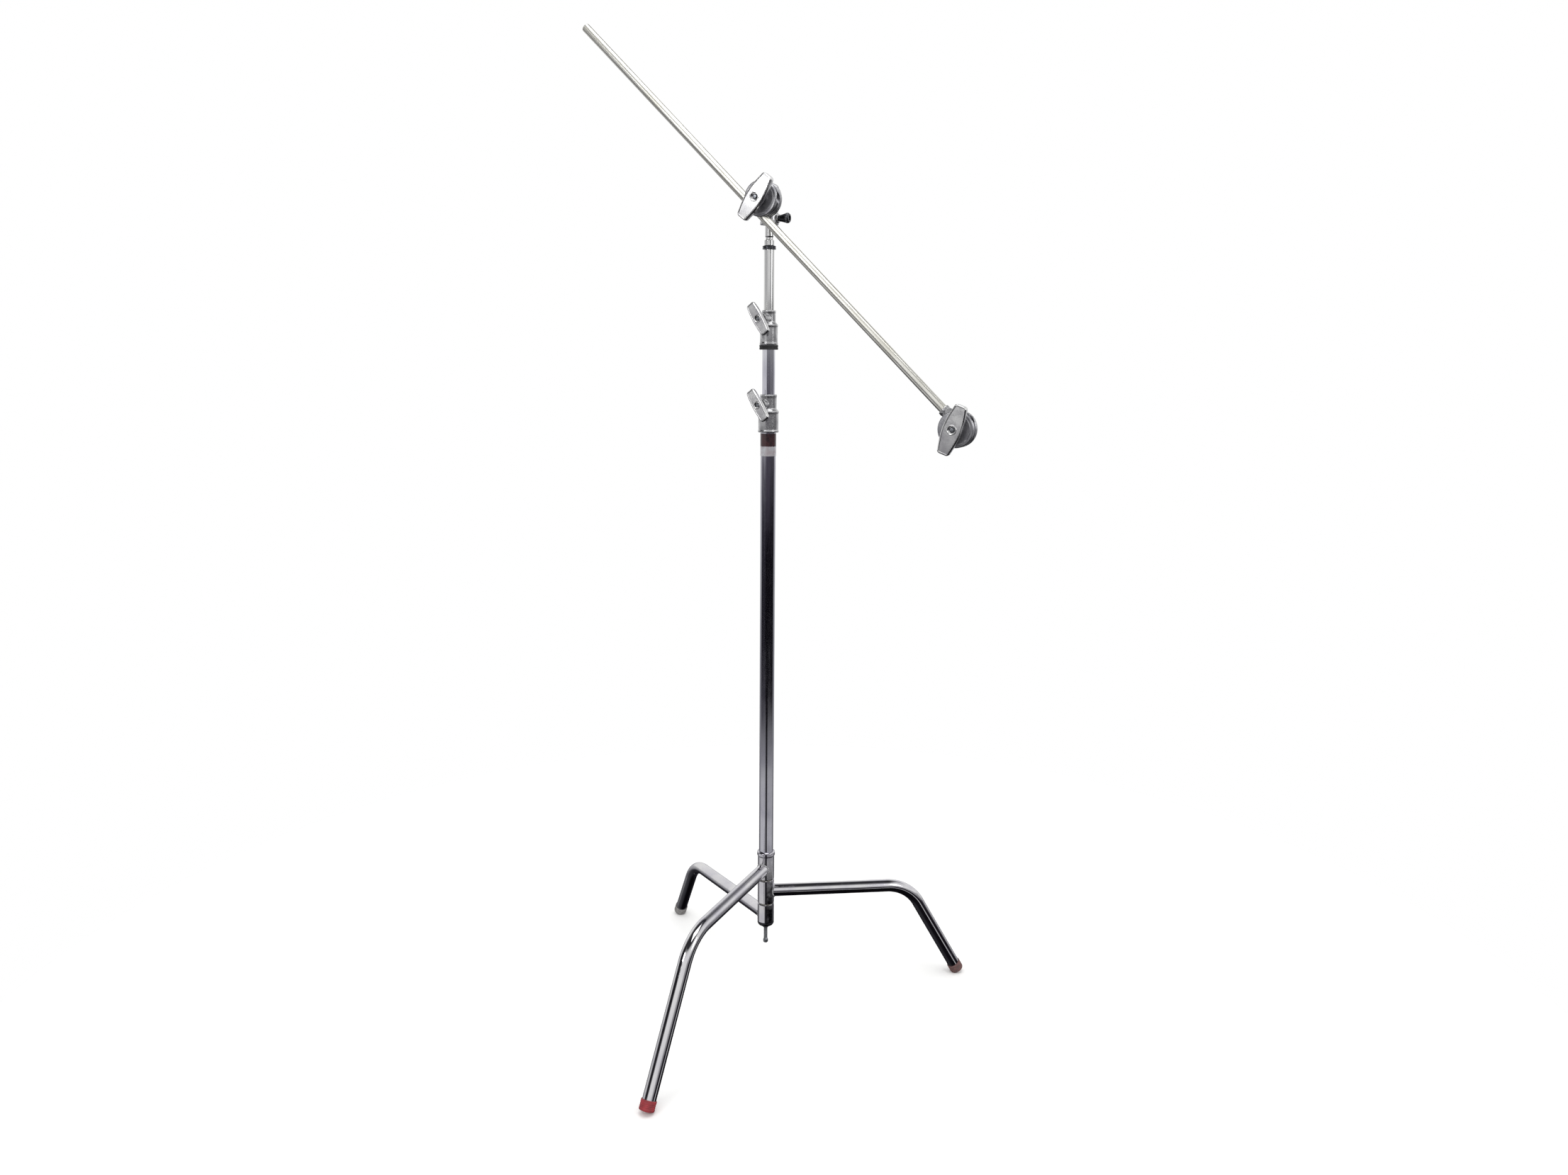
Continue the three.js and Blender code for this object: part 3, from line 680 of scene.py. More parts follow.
class Paint:
    """Materials of the stand, each built once from its finish."""

    def __init__(self, arm_turn: float, arm_lean: float) -> None:
        """Builds every material.

        Args:
            arm_turn: turn of the arm about the column, in degrees.
            arm_lean: fall of the arm to its lower end, in degrees.
        """
        # In each finish the third colour is the edge colour, lighter than the base on convex edges: partly worn,
        # partly a painted highlight.
        # Drawn steel tube, bright chrome plated: a clear mirror with faint drawing lines up the tube.
        self.tube = Finish("chrome_plated_tube", "#D2D2D8", "#BFBEC8", "#E6E6EA", smooth=0.05, rough=0.14,
                           patch=70, grain=0.9, depth=0.006, run=Run.UPRIGHT, edge_wear_and_highlight=0.2).material()
        # The slimmest tube gets a lighter copy of the tube chrome, a painted highlight, so it carries whiter
        # highlights.
        self.lit_copy_tube = Finish("chrome_tube_lit_copy", "#E2E2E1", "#CFCFCE", "#F0F0EF", smooth=0.06, rough=0.16,
                                patch=60, grain=0.8, depth=0.006, run=Run.UPRIGHT, edge_wear_and_highlight=0.2).material()
        # Bent leg tube, chrome plated after welding: mirror bright with slight waves in the bend.
        self.leg = Finish("chrome_plated_leg", "#DAD9DA", "#C4C2CA", "#EBEBEB", smooth=0.04, rough=0.13,
                          patch=55, grain=9.0, depth=0.05, relief=0.25, edge_wear_and_highlight=0.25).material()
        # Chromed weld: the ripples show through the plate and hold a little grime.
        self.weld = Finish("chromed_weld_bead", "#BEBEC0", "#8E8D90", "#D8D8D8", smooth=0.16, rough=0.34,
                           patch=6, grain=0.8, depth=0.08, edge_wear_and_highlight=0.4).material()
        # Zinc die casting, nickel plated: soft reflections over a faint orange peel.
        self.casting = Finish("nickel_plated_casting", "#C9C9CA", "#9B9B9D", "#E9E9E8", smooth=0.20, rough=0.36,
                              patch=14, grain=2.4, depth=0.05, relief=0.2, edge_wear_and_highlight=0.85, specks=0.3).material()
        # Jaw casting, rougher and greyer where rods bite into it.
        self.jaw = Finish("bead_blasted_nickel_jaw", "#B6B6B9", "#94949A", "#DADADB", smooth=0.30, rough=0.46,
                          patch=11, grain=1.8, depth=0.06, relief=0.22, edge_wear_and_highlight=0.9, specks=0.35).material()
        # Forged wing handle, buffed then chromed: nearly mirror bright with buffing haze.
        self.wing = Finish("buffed_chrome_handle", "#DEDEDD", "#C2C1C4", "#F4F4F3", smooth=0.10, rough=0.24,
                           patch=20, grain=2.6, depth=0.02, relief=0.06, edge_wear_and_highlight=0.7, specks=0.06).material()
        # Ground steel bar: satin with fine lines along it, slightly warm.
        self.rod = Finish("satin_ground_steel_bar", "#ECEBE4", "#D8D6CC", "#F4F3EE", smooth=0.22, rough=0.32,
                          patch=45, grain=1.1, depth=0.008, relief=0.03, run=Run.ALONG_ARM, turn=arm_turn,
                          lean=arm_lean, edge_wear_and_highlight=0.3, specks=0.04).material()
        # Bright zinc on small steel parts: grey, a little blue and patchy.
        self.zinc = Finish("zinc_plated_steel", "#9EA1A6", "#77797E", "#C9CBCE", smooth=0.24, rough=0.44,
                           patch=5, grain=0.9, depth=0.02, edge_wear_and_highlight=0.6).material()
        # Cast ring with a darker nickel plate, which frames the bright tubes.
        self.dark = Finish("black_nickel_collar", "#55565B", "#3C3D41", "#94959A", smooth=0.2, rough=0.34,
                           patch=8, grain=1.0, depth=0.02, edge_wear_and_highlight=0.8).material()
        # Moulded rubber: matt black with a greyish bloom.
        self.rubber = Finish("moulded_black_rubber", "#18181A", "#2A2A2C", "#3A3A3C", metallic=0, smooth=0.55,
                             rough=0.8, patch=12, grain=0.6, depth=0.06, relief=0.6, edge_wear_and_highlight=0.5).material()
        # Turned aluminium knob, dark anodised, rubbed to metal on its edges.
        self.knob = Finish("dark_anodised_knob", "#4A4B4F", "#36373A", "#9EA0A4", smooth=0.22, rough=0.4,
                           patch=7, grain=0.8, depth=0.02, edge_wear_and_highlight=0.9).material()
        # Dipped vinyl foot, red: soft sheen, scuffed pale by floors.
        self.foot = Finish("red_vinyl_foot", "#962A31", "#77242B", "#AE5A5C", metallic=0, smooth=0.36,
                           rough=0.6, patch=9, grain=0.7, depth=0.05, relief=0.5, edge_wear_and_highlight=0.6).material()
        # The same vinyl, scuffed and dusty from dragging.
        self.worn_foot = Finish("scuffed_vinyl_foot", "#6C4846", "#564543", "#8E7C79", metallic=0, smooth=0.45,
                                rough=0.7, patch=7, grain=0.7, depth=0.07, relief=0.6, edge_wear_and_highlight=0.9).material()
        self.dusty_foot = Finish("dusty_vinyl_foot", "#878584", "#6C6A69", "#A9A7A6", metallic=0, smooth=0.5,
                                 rough=0.75, patch=6, grain=0.7, depth=0.07, relief=0.6, edge_wear_and_highlight=0.9).material()
        # Printed polyester band, black with a red cast, gloss laminated, with no lettering.
        self.black_band = Finish("gloss_black_band", "#231A1C", "#3A1E20", "#4A3234", metallic=0, smooth=0.14,
                                 rough=0.3, patch=9, grain=0.9, depth=0.01, edge_wear_and_highlight=0.4, coat=0.5).material()
        # Metallised polyester band, silver.
        self.silver_band = Finish("metallised_silver_band", "#C8C9CD", "#B2A9AD", "#E4E4E6", metallic=0.6,
                                  smooth=0.22, rough=0.4, patch=9, grain=0.8, depth=0.01, edge_wear_and_highlight=0.3).material()
        # Natural nylon: milky with a waxy sheen.
        self.nylon = Finish("natural_nylon", "#E2DFD3", "#CFCABA", "#EFEDE6", metallic=0, smooth=0.35, rough=0.5,
                            patch=6, grain=0.5, depth=0.02, edge_wear_and_highlight=0.4).material()


# ---------------------------------------------------------------- pieces

NODE_BODY = {n: body for body, nodes in frame["record"]["behaviour"]["bodies"].items() for n in nodes}


def show(name: str, mesh: Mesh, place: Matrix, material: bpy.types.Material | None, node: str,
         stands_for: bool = True, crease: float = 32.0) -> bpy.types.Object:
    """Puts a finished mesh in the scene as a piece of the stand.

    Args:
        name: the piece's name.
        mesh: its mesh in millimetres, in its own frame.
        place: that frame.
        material: its finish, or None where the mesh already has it.
        node: the CAD node whose body it rides on.
        stands_for: whether it takes the place of that node.
        crease: angle in degrees past which an edge stays sharp.

    Returns:
        The new object, at the origin.
    """
    mesh.name = name
    mesh.transform(place)
    if material is not None:
        mesh.materials.clear()
        mesh.materials.append(material)
    mesh.shade_smooth()
    mesh.set_sharp_from_angle(angle=math.radians(crease))
    obj = bpy.data.objects.new(name, mesh)
    bpy.context.scene.collection.objects.link(obj)
    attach(obj, NODE_BODY[node])
    if stands_for:
        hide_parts(node)
    log.info("%s: %d faces on %s", name, len(mesh.polygons), NODE_BODY[node])
    return obj


# ---------------------------------------------------------------- base


@dataclass
class Leg:
    """One bent leg: its collar on the column, the tube, the weld between them and the foot cap.

    Heights are in millimetres above the floor, along the column's axis.
    """

    name: str
    axis: float
    corner: float
    bottom: float
    top: float
    foot_finish: bpy.types.Material
    tube_r: float = 12.7
    wall: float = 1.8
    reach: float = 430.0
    fall: float = 4.65
    bend: float = 90.0
    collar_r: float = 16.7
    bore_r: float = 14.6
    foot_r: float = 14.3
    foot_length: float = 19.0
    foot_floor: float = 3.5
    foot_trim: float = 2.4
    ripples: int = 64
    ripple: tuple = (0.95, 1.7, 1.7)

    def place(self) -> Matrix:
        """Frame on the column's axis at the floor, with +X towards the foot.

        Returns:
            The matrix.
        """
        low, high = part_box(f"foot_cap_{self.name}")
        foot = (low + high) / 2 - column_axis()
        azimuth = math.atan2(foot.y, foot.x)
        return Matrix.Translation(column_axis()) @ Matrix.Rotation(azimuth, 4, "Z") @ Matrix.Scale(MM, 4)

    def foot_point(self) -> Vector:
        """Middle of the foot's end face before the floor wears it flat."""
        return Vector((self.reach, 0, self.foot_r / 2 - self.foot_trim))

    def knee(self) -> Vector:
        """Where the two straight runs would meet."""
        return Vector((self.corner, 0, self.axis - self.corner * math.tan(math.radians(self.fall))))

    def path(self, start: float, short: float, steps: int = 40) -> list[Vector]:
        """Centre line of the tube.

        Args:
            start: distance from the column's axis where it starts.
            short: how far it stops from the foot's end.
            steps: points on the bend.

        Returns:
            Points from the column to the foot.
        """
        first = Vector((start, 0, self.axis - start * math.tan(math.radians(self.fall))))
        knee, foot = self.knee(), self.foot_point()
        last = foot + (knee - foot).normalized() * short
        inward, outward = (first - knee).normalized(), (last - knee).normalized()
        half = inward.angle(outward) / 2
        setback = self.bend / math.tan(half)
        centre = knee + (inward + outward).normalized() * (self.bend / math.sin(half))
        arm = knee + inward * setback - centre
        sweep = math.pi - 2 * half
        turns = [Matrix.Rotation(sweep * i / steps, 3, "Y") for i in range(steps + 1)]
        return [first, *(centre + turn @ arm for turn in turns), last]

    def swept(self, r: float, start: float, short: float) -> Mesh:
        """Closed round sweep along the centre line.

        Args:
            r: radius of the sweep.
            start: distance from the column's axis where it starts.
            short: how far it stops from the foot's end.

        Returns:
            The closed mesh.
        """
        points = self.path(start, short)
        bm = bmesh.new()
        rings = []
        side = Vector((0, 1, 0))
        for i, point in enumerate(points):
            ahead = points[min(i + 1, len(points) - 1)] - points[max(i - 1, 0)]
            up = ahead.normalized().cross(side)
            angles = [2 * math.pi * k / SWEEP_SIDES for k in range(SWEEP_SIDES)]
            rings.append([bm.verts.new(point + side * r * math.cos(a) + up * r * math.sin(a)) for a in angles])
        for low, high in zip(rings, rings[1:]):
            for k in range(SWEEP_SIDES):
                bm.faces.new((low[k - 1], low[k], high[k], high[k - 1]))
        bm.faces.new(rings[0])
        bm.faces.new(rings[-1])
        return finished(bm, "sweep")

    def tube(self) -> Mesh:
        """Leg tube cut to the collar, with its wall and the collar's bore.

        Returns:
            The closed mesh.
        """
        collar = turned([(0, self.bottom), (self.collar_r, self.bottom), (self.collar_r, self.top),
                         (0, self.top)], soft=1.5)
        end = self.foot_floor + GAP
        outer = self.swept(self.tube_r, 2.0, end)
        inner = self.swept(self.tube_r - self.wall, 24.5, end - 2)
        bore = bar(self.bore_r, self.bottom - 1, self.top + 1)
        return carved(collar, [inner, bore], [outer])

    def weld(self, material: bpy.types.Material) -> Mesh:
        """Bead round the meeting line of tube and collar.

        Args:
            material: the bead's finish.

        Returns:
            The bead, with its finish set.
        """
        slope = math.tan(math.radians(self.fall))
        points = []
        for i in range(72):
            angle = 2 * math.pi * i / 72
            y = self.tube_r * math.cos(angle)
            x = math.sqrt(self.collar_r ** 2 - y * y)
            points.append((x, y, self.axis - x * slope + self.tube_r * math.sin(angle)))
        curve = bpy.data.curves.new("weld_route", "CURVE")
        curve.dimensions = "3D"
        spline = curve.splines.new("POLY")
        spline.points.add(len(points) - 1)
        for target, point in zip(spline.points, points):
            target.co = (*point, 1)
        spline.use_cyclic_u = True
        route = bpy.data.objects.new("weld_route", curve)
        bpy.context.scene.collection.objects.link(route)
        bead = grown(Repeat.WELD, material, {
            "Route": route, "Count": self.ripples, "Size": self.ripple, "Seed": 7,
        })
        bpy.data.objects.remove(route)
        bpy.data.curves.remove(curve)
        return bead

    def cap(self) -> Mesh:
        """Dipped foot cap with grip rings, worn flat on the floor.

        Returns:
            The closed mesh.
        """
        r, length = self.foot_r, self.foot_length
        hollow = self.tube_r + GAP
        outline = [(0, 0), (r - 2.6, 0), (r - 0.7, 0.7), (r, 2.6)]
        for height in (6.0, 9.0, 12.0):
            outline += [(r, height - 0.8), (r - 0.5, height - 0.3), (r - 0.5, height + 0.3), (r, height + 0.8)]
        outline += [(r, length), (hollow, length), (hollow, self.foot_floor), (0, self.foot_floor)]
        shell = turned(outline, soft=0.9)
        axis = (self.knee() - self.foot_point()).normalized()
        lean = Vector((0, 0, 1)).rotation_difference(axis).to_matrix().to_4x4()
        moved(shell, Matrix.Translation(self.foot_point()) @ lean)
        floor = bmesh.new()
        bmesh.ops.create_cube(floor, size=80)
        bmesh.ops.translate(floor, verts=floor.verts, vec=(self.reach, 0, -40))
        return carved(shell, [finished(floor, "floor")])

    def build(self, paint: Paint) -> None:
        """Makes the leg, its weld and its cap.

        Args:
            paint: the stand's finishes.
        """
        place = self.place()
        leg, foot = f"leg_{self.name}", f"foot_cap_{self.name}"
        show(f"{leg}_tube", self.tube(), place, paint.leg, leg)
        show(f"{leg}_weld_bead", self.weld(paint.weld), place, None, leg, stands_for=False, crease=80)
        show(f"{foot}_vinyl", self.cap(), place, self.foot_finish, foot)


@dataclass
class BaseHub:
    """Fixed ring over the legs, the collar washers and the sprung cap under them."""

    collar_r: float = 16.7
    bore_r: float = 14.6
    ring_r: float = 18.0
    ring_bottom: float = 318.3
    ring_top: float = 327.0
    washer_gaps: tuple = (("upper", 266.2, 266.8), ("lower", 214.4, 215.0))
    cap_top: float = 173.5
    cap_bottom: float = 166.0
    rod_r: float = 3.9
    rod_bottom: float = 126.0
    rod_top: float = 240.0
    spring: tuple = (8.0, 1.3, 188.3, 232.0)
    release_travel: float = 8.0
    column_r: float = 14.3
    nut_r: float = 6.3
    nut_height: float = 6.0

    def ring(self) -> Mesh:
        """Hub ring with a rolled top edge; the row of stakes that lock it to the column is grown in build.

        Returns:
            The closed mesh.
        """
        outline = [(self.bore_r, self.ring_bottom), (self.ring_r, self.ring_bottom),
                   (self.ring_r, self.ring_top - 2), (self.ring_r - 2, self.ring_top),
                   (self.bore_r, self.ring_top)]
        return turned(outline, soft=0.6)

    def cap(self) -> Mesh:
        """Turned cap that presses the collars together, with a stepped underside.

        Returns:
            The closed mesh.
        """
        hole, r = self.rod_r + GAP, self.collar_r
        return turned([(hole, self.cap_top), (r, self.cap_top), (r, self.cap_top - 3), (r - 1.6, self.cap_top - 6),
                       (11.7, self.cap_bottom), (hole, self.cap_bottom)], soft=0.6)

    def rod(self, paint: Paint) -> Mesh:
        """Tie rod: round head above, thread at the nut, bulb tip below.

        Args:
            paint: the stand's finishes.

        Returns:
            The rod, with its finish set.
        """
        r, low, high = self.rod_r, self.rod_bottom, self.rod_top
        core = turned([(0, low), (3.7, low), (4.9, low + 1.5), (4.9, low + 7), (r - 0.35, low + 9),
                       (r - 0.35, high - 5), (6.5, high - 5), (6.5, high), (0, high)],
                      sides=SMALL_SIDES, soft=0.5)
        core.materials.append(paint.zinc)
        thread = grown(Repeat.COIL, paint.zinc, {
            "Radius": r - THREAD, "Wire": THREAD, "Height": 26.0, "Turns": 21.0,
        })
        moved(thread, Matrix.Translation((0, 0, low + 9.5)))
        return joined([core, thread])

    def nut(self) -> Mesh:
        """Hexagon nut with chamfered corners.

        Returns:
            The closed mesh.
        """
        top, r, tall = self.cap_bottom - GAP, self.nut_r, self.nut_height
        hexagon = bar(r, top - tall, top, sides=6)
        dome = turned([(0, top - tall), (r - 1, top - tall), (r + 0.1, top - tall + 1), (r + 0.1, top - 1),
                       (r - 1, top), (0, top)], soft=0)
        common = bpy.data.objects.new("common", dome)
        bpy.context.scene.collection.objects.link(common)

        def intersect(obj: bpy.types.Object) -> None:
            """Keeps what lies inside the chamfer cone."""
            modifier = obj.modifiers.new("chamfer", "BOOLEAN")
            modifier.object, modifier.operation, modifier.solver = common, "INTERSECT", "EXACT"

        chamfered = through_modifiers(hexagon, intersect)
        bpy.data.objects.remove(common)
        return carved(chamfered, [bar(self.rod_r + GAP, top - tall - 1, top + 1, sides=SMALL_SIDES)])

    def build(self, paint: Paint) -> None:
        """Makes the hub's pieces on the column's axis.

        Args:
            paint: the stand's finishes.
        """
        place = frame_at(column_axis())
        show("hub_ring_turned", self.ring(), place, paint.leg, "hub_ring")
        stakes = grown(Repeat.STUDS, paint.dark, {"Count": 10, "Radius": self.ring_r - 0.5, "Size": (0.45, 1.3, 1.3)})
        show("hub_ring_stakes", stakes, lift(place, z=self.ring_bottom + 3.6), None, "hub_ring", stands_for=False)
        for name, low, high in self.washer_gaps:
            node = f"{name}_collar_washer"
            washer = tube(self.collar_r - 2, self.bore_r, low, high, soft=0.15)
            show(f"{node}_disc", washer, place, paint.nylon, node)
        show("bottom_cap_turned", self.cap(), place, paint.dark, "bottom_cap")
        show("tie_rod_threaded", self.rod(paint), place, None, "tie_rod")
        show("tie_rod_hex_nut", self.nut(), place, paint.zinc, "tie_rod_nut")
        inside, hole = self.column_r - WALL - GAP, self.rod_r + GAP
        r, wire, low, high = self.spring
        show("column_plug_disc", tube(inside, hole, low - 6, low - GAP), place, paint.zinc, "column_plug")
        washer = tube(inside - GAP, hole, high + GAP, self.rod_top - 5 - GAP, soft=0.3)
        show("spring_washer_disc", washer, place, paint.zinc, "spring_washer")
        coil = grown(Repeat.COIL, paint.zinc, {"Radius": r, "Wire": wire, "Height": high - low - 2 * wire,
                                               "Turns": 5.0})
        spring = show("base_spring_coil", coil, lift(place, z=low + wire), None, "base_spring")
        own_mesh(spring)


# ---------------------------------------------------------------- column


@dataclass
class Column:
    """The three telescoping tubes with their glides, bands and bumper."""

    tube_r: float = 14.3
    riser_1_r: float = 11.9
    riser_2_r: float = 9.53
    bands: tuple = (("black", 1140.0, 1164.0), ("silver", 1121.7, 1139.7))
    bumper: tuple = (12.2, 17.4, 1318.0, 1326.5)

    def drawn(self, node: str, r: float) -> Mesh:
        """Drawn tube between its node's ends, with deburred rims."""
        low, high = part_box(node)
        return tube(r, r - WALL, low.z / MM, high.z / MM, soft=0.5)

    def glide(self, node: str, flange: float, spigot: float) -> Mesh:
        """Moulded glide: a flange with grease grooves and a spigot in the riser.

        Args:
            node: the CAD node that it stands for.
            flange: radius of its flange.
            spigot: radius of its spigot.

        Returns:
            The closed mesh.
        """
        low, high = (corner.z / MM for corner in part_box(node))
        base, bore = high - 16, spigot - 3
        outline = [(bore, low), (flange - 1, low), (flange, low + 1)]
        for height in (3.5, 7.5):
            outline += [(flange, low + height), (flange - 0.6, low + height), (flange - 0.6, low + height + 1),
                        (flange, low + height + 1)]
        return turned([*outline, (flange, base), (spigot, base), (spigot, high), (bore, high)], soft=0.2)

    def build(self, paint: Paint) -> None:
        """Makes the tubes and what is on them.

        Args:
            paint: the stand's finishes.
        """
        place = frame_at(column_axis())
        show("column_tube_drawn", self.drawn("column_tube", self.tube_r), place, paint.tube, "column_tube")
        show("riser_1_tube_drawn", self.drawn("riser_1_tube", self.riser_1_r), place, paint.tube, "riser_1_tube")
        # Riser 2 takes the lighter chrome copy: painted highlight.
        show("riser_2_tube_drawn", self.drawn("riser_2_tube", self.riser_2_r), place, paint.lit_copy_tube,
             "riser_2_tube")
        for node, outer, inner in (("riser_1_glide", self.tube_r, self.riser_1_r),
                                   ("riser_2_glide", self.riser_1_r, self.riser_2_r)):
            mesh = self.glide(node, outer - WALL - 0.5, inner - WALL - 0.4)
            show(f"{node}_moulding", mesh, place, paint.nylon, node)
        for colour, low, high in self.bands:
            band = tube(self.tube_r + 0.6, self.tube_r + 0.2, low, high, soft=0.12)
            finish = paint.black_band if colour == "black" else paint.silver_band
            show(f"{colour}_band_wrap", band, place, finish, f"{colour}_label")
        inner, outer, low, high = self.bumper
        waist = (low + high) / 2
        ring = turned([(inner, low), (outer, low), (outer, waist - 0.8), (outer - 0.5, waist - 0.4),
                       (outer - 0.5, waist + 0.4), (outer, waist + 0.8), (outer, high), (inner, high)], soft=0.7)
        show("bumper_ring_moulding", ring, place, paint.rubber, "bumper_ring")


@dataclass
class WingHandle:
    """Two-winged clamp handle: full in the middle, narrower at its round ends."""

    half: float
    middle: float
    end: float
    plate: float
    hub_r: float
    hub: float
    hole_r: float
    sink_r: float
    rim: float = 3.0

    def outline(self, points: int = 9) -> list[Vector]:
        """Corner points of the handle's front, going round once.

        Args:
            points: points on each curved stretch.

        Returns:
            Points in the plane, with the long side along Y.
        """
        half, middle, end = self.half, self.middle, self.end
        corner = end * 0.55
        arcs = [((middle, 0), (middle, half * 0.35), (end, half - corner)),
                ((end, half - corner), (end * 0.95, half), (end - corner, half))]
        quarter = []
        for a, b, c in arcs:
            for k in range(points):
                t = k / points
                quarter.append(Vector(a) * (1 - t) ** 2 + Vector(b) * 2 * t * (1 - t) + Vector(c) * t * t)
        quarter.append(Vector(arcs[-1][2]))
        left = [Vector((-p.x, p.y)) for p in reversed(quarter)]
        lower = [Vector((p.x, -p.y)) for p in reversed(quarter[1:])]
        lower_left = [Vector((-p.x, -p.y)) for p in quarter[1:]]
        return [*quarter, *left, *lower_left, *lower]

    def inset(self, points: list[Vector], by: float) -> list[Vector]:
        """The outline moved inwards by a distance.

        Args:
            points: corners going round once.
            by: the distance, in millimetres.

        Returns:
            The moved corners.
        """
        result = []
        for i, point in enumerate(points):
            ahead = (points[(i + 1) % len(points)] - points[i - 1]).normalized()
            result.append(point + Vector((-ahead.y, ahead.x)) * by)
        return result

    def mesh(self, face: float) -> Mesh:
        """Handle whose front is at a distance along -Y, with its long side along Z.

        Args:
            face: that distance, in millimetres.

        Returns:
            The closed mesh.
        """
        back, points = face - self.plate, self.outline()
        levels = [(back, 2.4), (back + 0.7, 0.8), (back + 2.2, 0.0), (face - self.rim, 0.0), (face - 1.4, 0.35),
                  (face - 0.4, 1.2), (face, 2.3), (face - 0.1, 2.9), (face - 0.6, 3.5)]
        bm = bmesh.new()
        rings = [[bm.verts.new((p.x, -depth, p.y)) for p in self.inset(points, by)] for depth, by in levels]
        for low, high in zip(rings, rings[1:]):
            for i in range(len(low)):
                bm.faces.new((low[i - 1], low[i], high[i], high[i - 1]))
        bm.faces.new(rings[0])
        bm.faces.new(rings[-1])
        plate = finished(bm, "plate")
        hub = turned([(0, back - self.hub), (self.hub_r - 1, back - self.hub), (self.hub_r, back - self.hub + 1),
                      (self.hub_r, back + 1), (0, back + 1)], Along.FORWARD, SMALL_SIDES, soft=0.6)
        boss = turned([(0, face - 3), (self.sink_r + 3.4, face - 3), (self.sink_r + 1.8, face), (0, face)],
                      Along.FORWARD, SMALL_SIDES, soft=0.5)
        hole = bar(self.hole_r, back - self.hub - 1, face + 1, Along.FORWARD, SMALL_SIDES)
        sink = turned([(0, face - 6), (self.sink_r, face - 6), (self.sink_r, face - 0.8),
                       (self.sink_r + 0.9, face + 0.1), (self.sink_r + 0.9, face + 1), (0, face + 1)],
                      Along.FORWARD, SMALL_SIDES, soft=0)
        return carved(plate, [hole, sink], [hub, boss])


SMALL_WING = WingHandle(32, 11.5, 9.5, 8, 7.5, 5, 4.3, 5.3)
BIG_WING = WingHandle(44, 17, 11.5, 12, 13, 8.7, 5.3, 6.8)


def screw(r: float, start: float, end: float, along: Along, paint: Paint, plain: float = 0.0) -> Mesh:
    """Clamp screw with its thread wound on a core.

    Args:
        r: outer radius, in millimetres.
        start: distance where it starts.
        end: distance where it ends.
        along: direction of its axis.
        paint: the stand's finishes.
        plain: length without thread at its start.

    Returns:
        The mesh, with its finish set.
    """
    core = turned([(0, start), (r - 0.9, start), (r - 0.35, start + 0.8), (r - 0.35, end - 0.8), (r - 0.9, end),
                   (0, end)], along, SMALL_SIDES, soft=0.3)
    core.materials.append(paint.zinc)
    length = end - start - plain - 2.4
    thread = grown(Repeat.COIL, paint.zinc, {
        "Radius": r - THREAD, "Wire": THREAD, "Height": length, "Turns": float(round(length / PITCH)),
    })
    moved(thread, along.value @ Matrix.Translation((0, 0, start + plain + 1.2)))
    return joined([core, thread])


def pad_button(start: float, thick: float, along: Along) -> Mesh:
    """Round pad on a clamp screw's tip."""
    return turned([(0, start), (PAD_R, start), (PAD_R, start + thick), (0, start + thick)], along, SMALL_SIDES,
                  soft=0.4)


@dataclass
class Knuckle:
    """Cast clamp round two tubes, with its pad, screw and wing handle."""

    name: str
    skirt: float
    tube_r: float
    riser_r: float
    collar_r: float
    neck_r: float
    ledge: float
    shoulder: float
    screw_at: float
    height: float
    boss_r: float = 9.5
    boss_end: float = 22.0
    face: float = 38.0
    tilt: float = -34.0

    def casting(self) -> Mesh:
        """Body with a rolled lip below, a soft shoulder, a neck bead and the screw boss.

        Returns:
            The casting.
        """
        top, r = self.height, self.collar_r
        body = turned([(0, self.skirt), (r, self.skirt), (r, self.skirt + 3.2), (r - 0.7, self.skirt + 4.2),
                       (r - 0.7, self.shoulder - 3.5), (r, self.shoulder - 2.5), (r, self.shoulder),
                       (self.neck_r - 0.6, self.shoulder + 5), (self.neck_r - 0.6, top - 5),
                       (self.neck_r, top - 4), (self.neck_r, top), (0, top)], soft=0.8)
        at = Matrix.Translation((0, 0, self.screw_at))
        boss = moved(turned([(0, 2), (self.boss_r, 2), (self.boss_r, self.boss_end), (0, self.boss_end)],
                            Along.FORWARD, SIDES, soft=0.8), at)
        cuts = [bar(self.tube_r + GAP, self.skirt - 1, self.ledge + GAP),
                bar(self.riser_r + GAP, self.ledge, top + 1),
                moved(bar(SCREW_BORE, 0, self.boss_end + 1, Along.FORWARD, SMALL_SIDES), at)]
        return cast([body, boss], cuts)

    def build(self, paint: Paint) -> None:
        """Makes the knuckle at its clamp screw's height.

        Args:
            paint: the stand's finishes.
        """
        turn = joint(f"{self.name}_handle_turn")
        at_screw = frame_at(turn["pos_m"], turn["axis"])
        base = lift(at_screw, z=-self.screw_at)
        knuckle, pad = f"{self.name}_knuckle", f"{self.name}_clamp_pad"
        show(f"{knuckle}_casting", self.casting(), base, paint.casting, knuckle)
        pad_start = self.riser_r + GAP
        show(f"{pad}_button", pad_button(pad_start, 2.2, Along.FORWARD), at_screw, paint.nylon, pad)
        bolt = screw(SCREW_R, pad_start + 2.5, self.face - 1.5, Along.FORWARD, paint)
        show(f"{self.name}_clamp_screw_threaded", bolt, at_screw, None, f"{self.name}_clamp_screw")
        tilted = frame_at(turn["pos_m"], turn["axis"], self.tilt)
        show(f"{self.name}_wing_handle_forged", SMALL_WING.mesh(self.face), tilted, paint.wing,
             f"{self.name}_wing_handle")


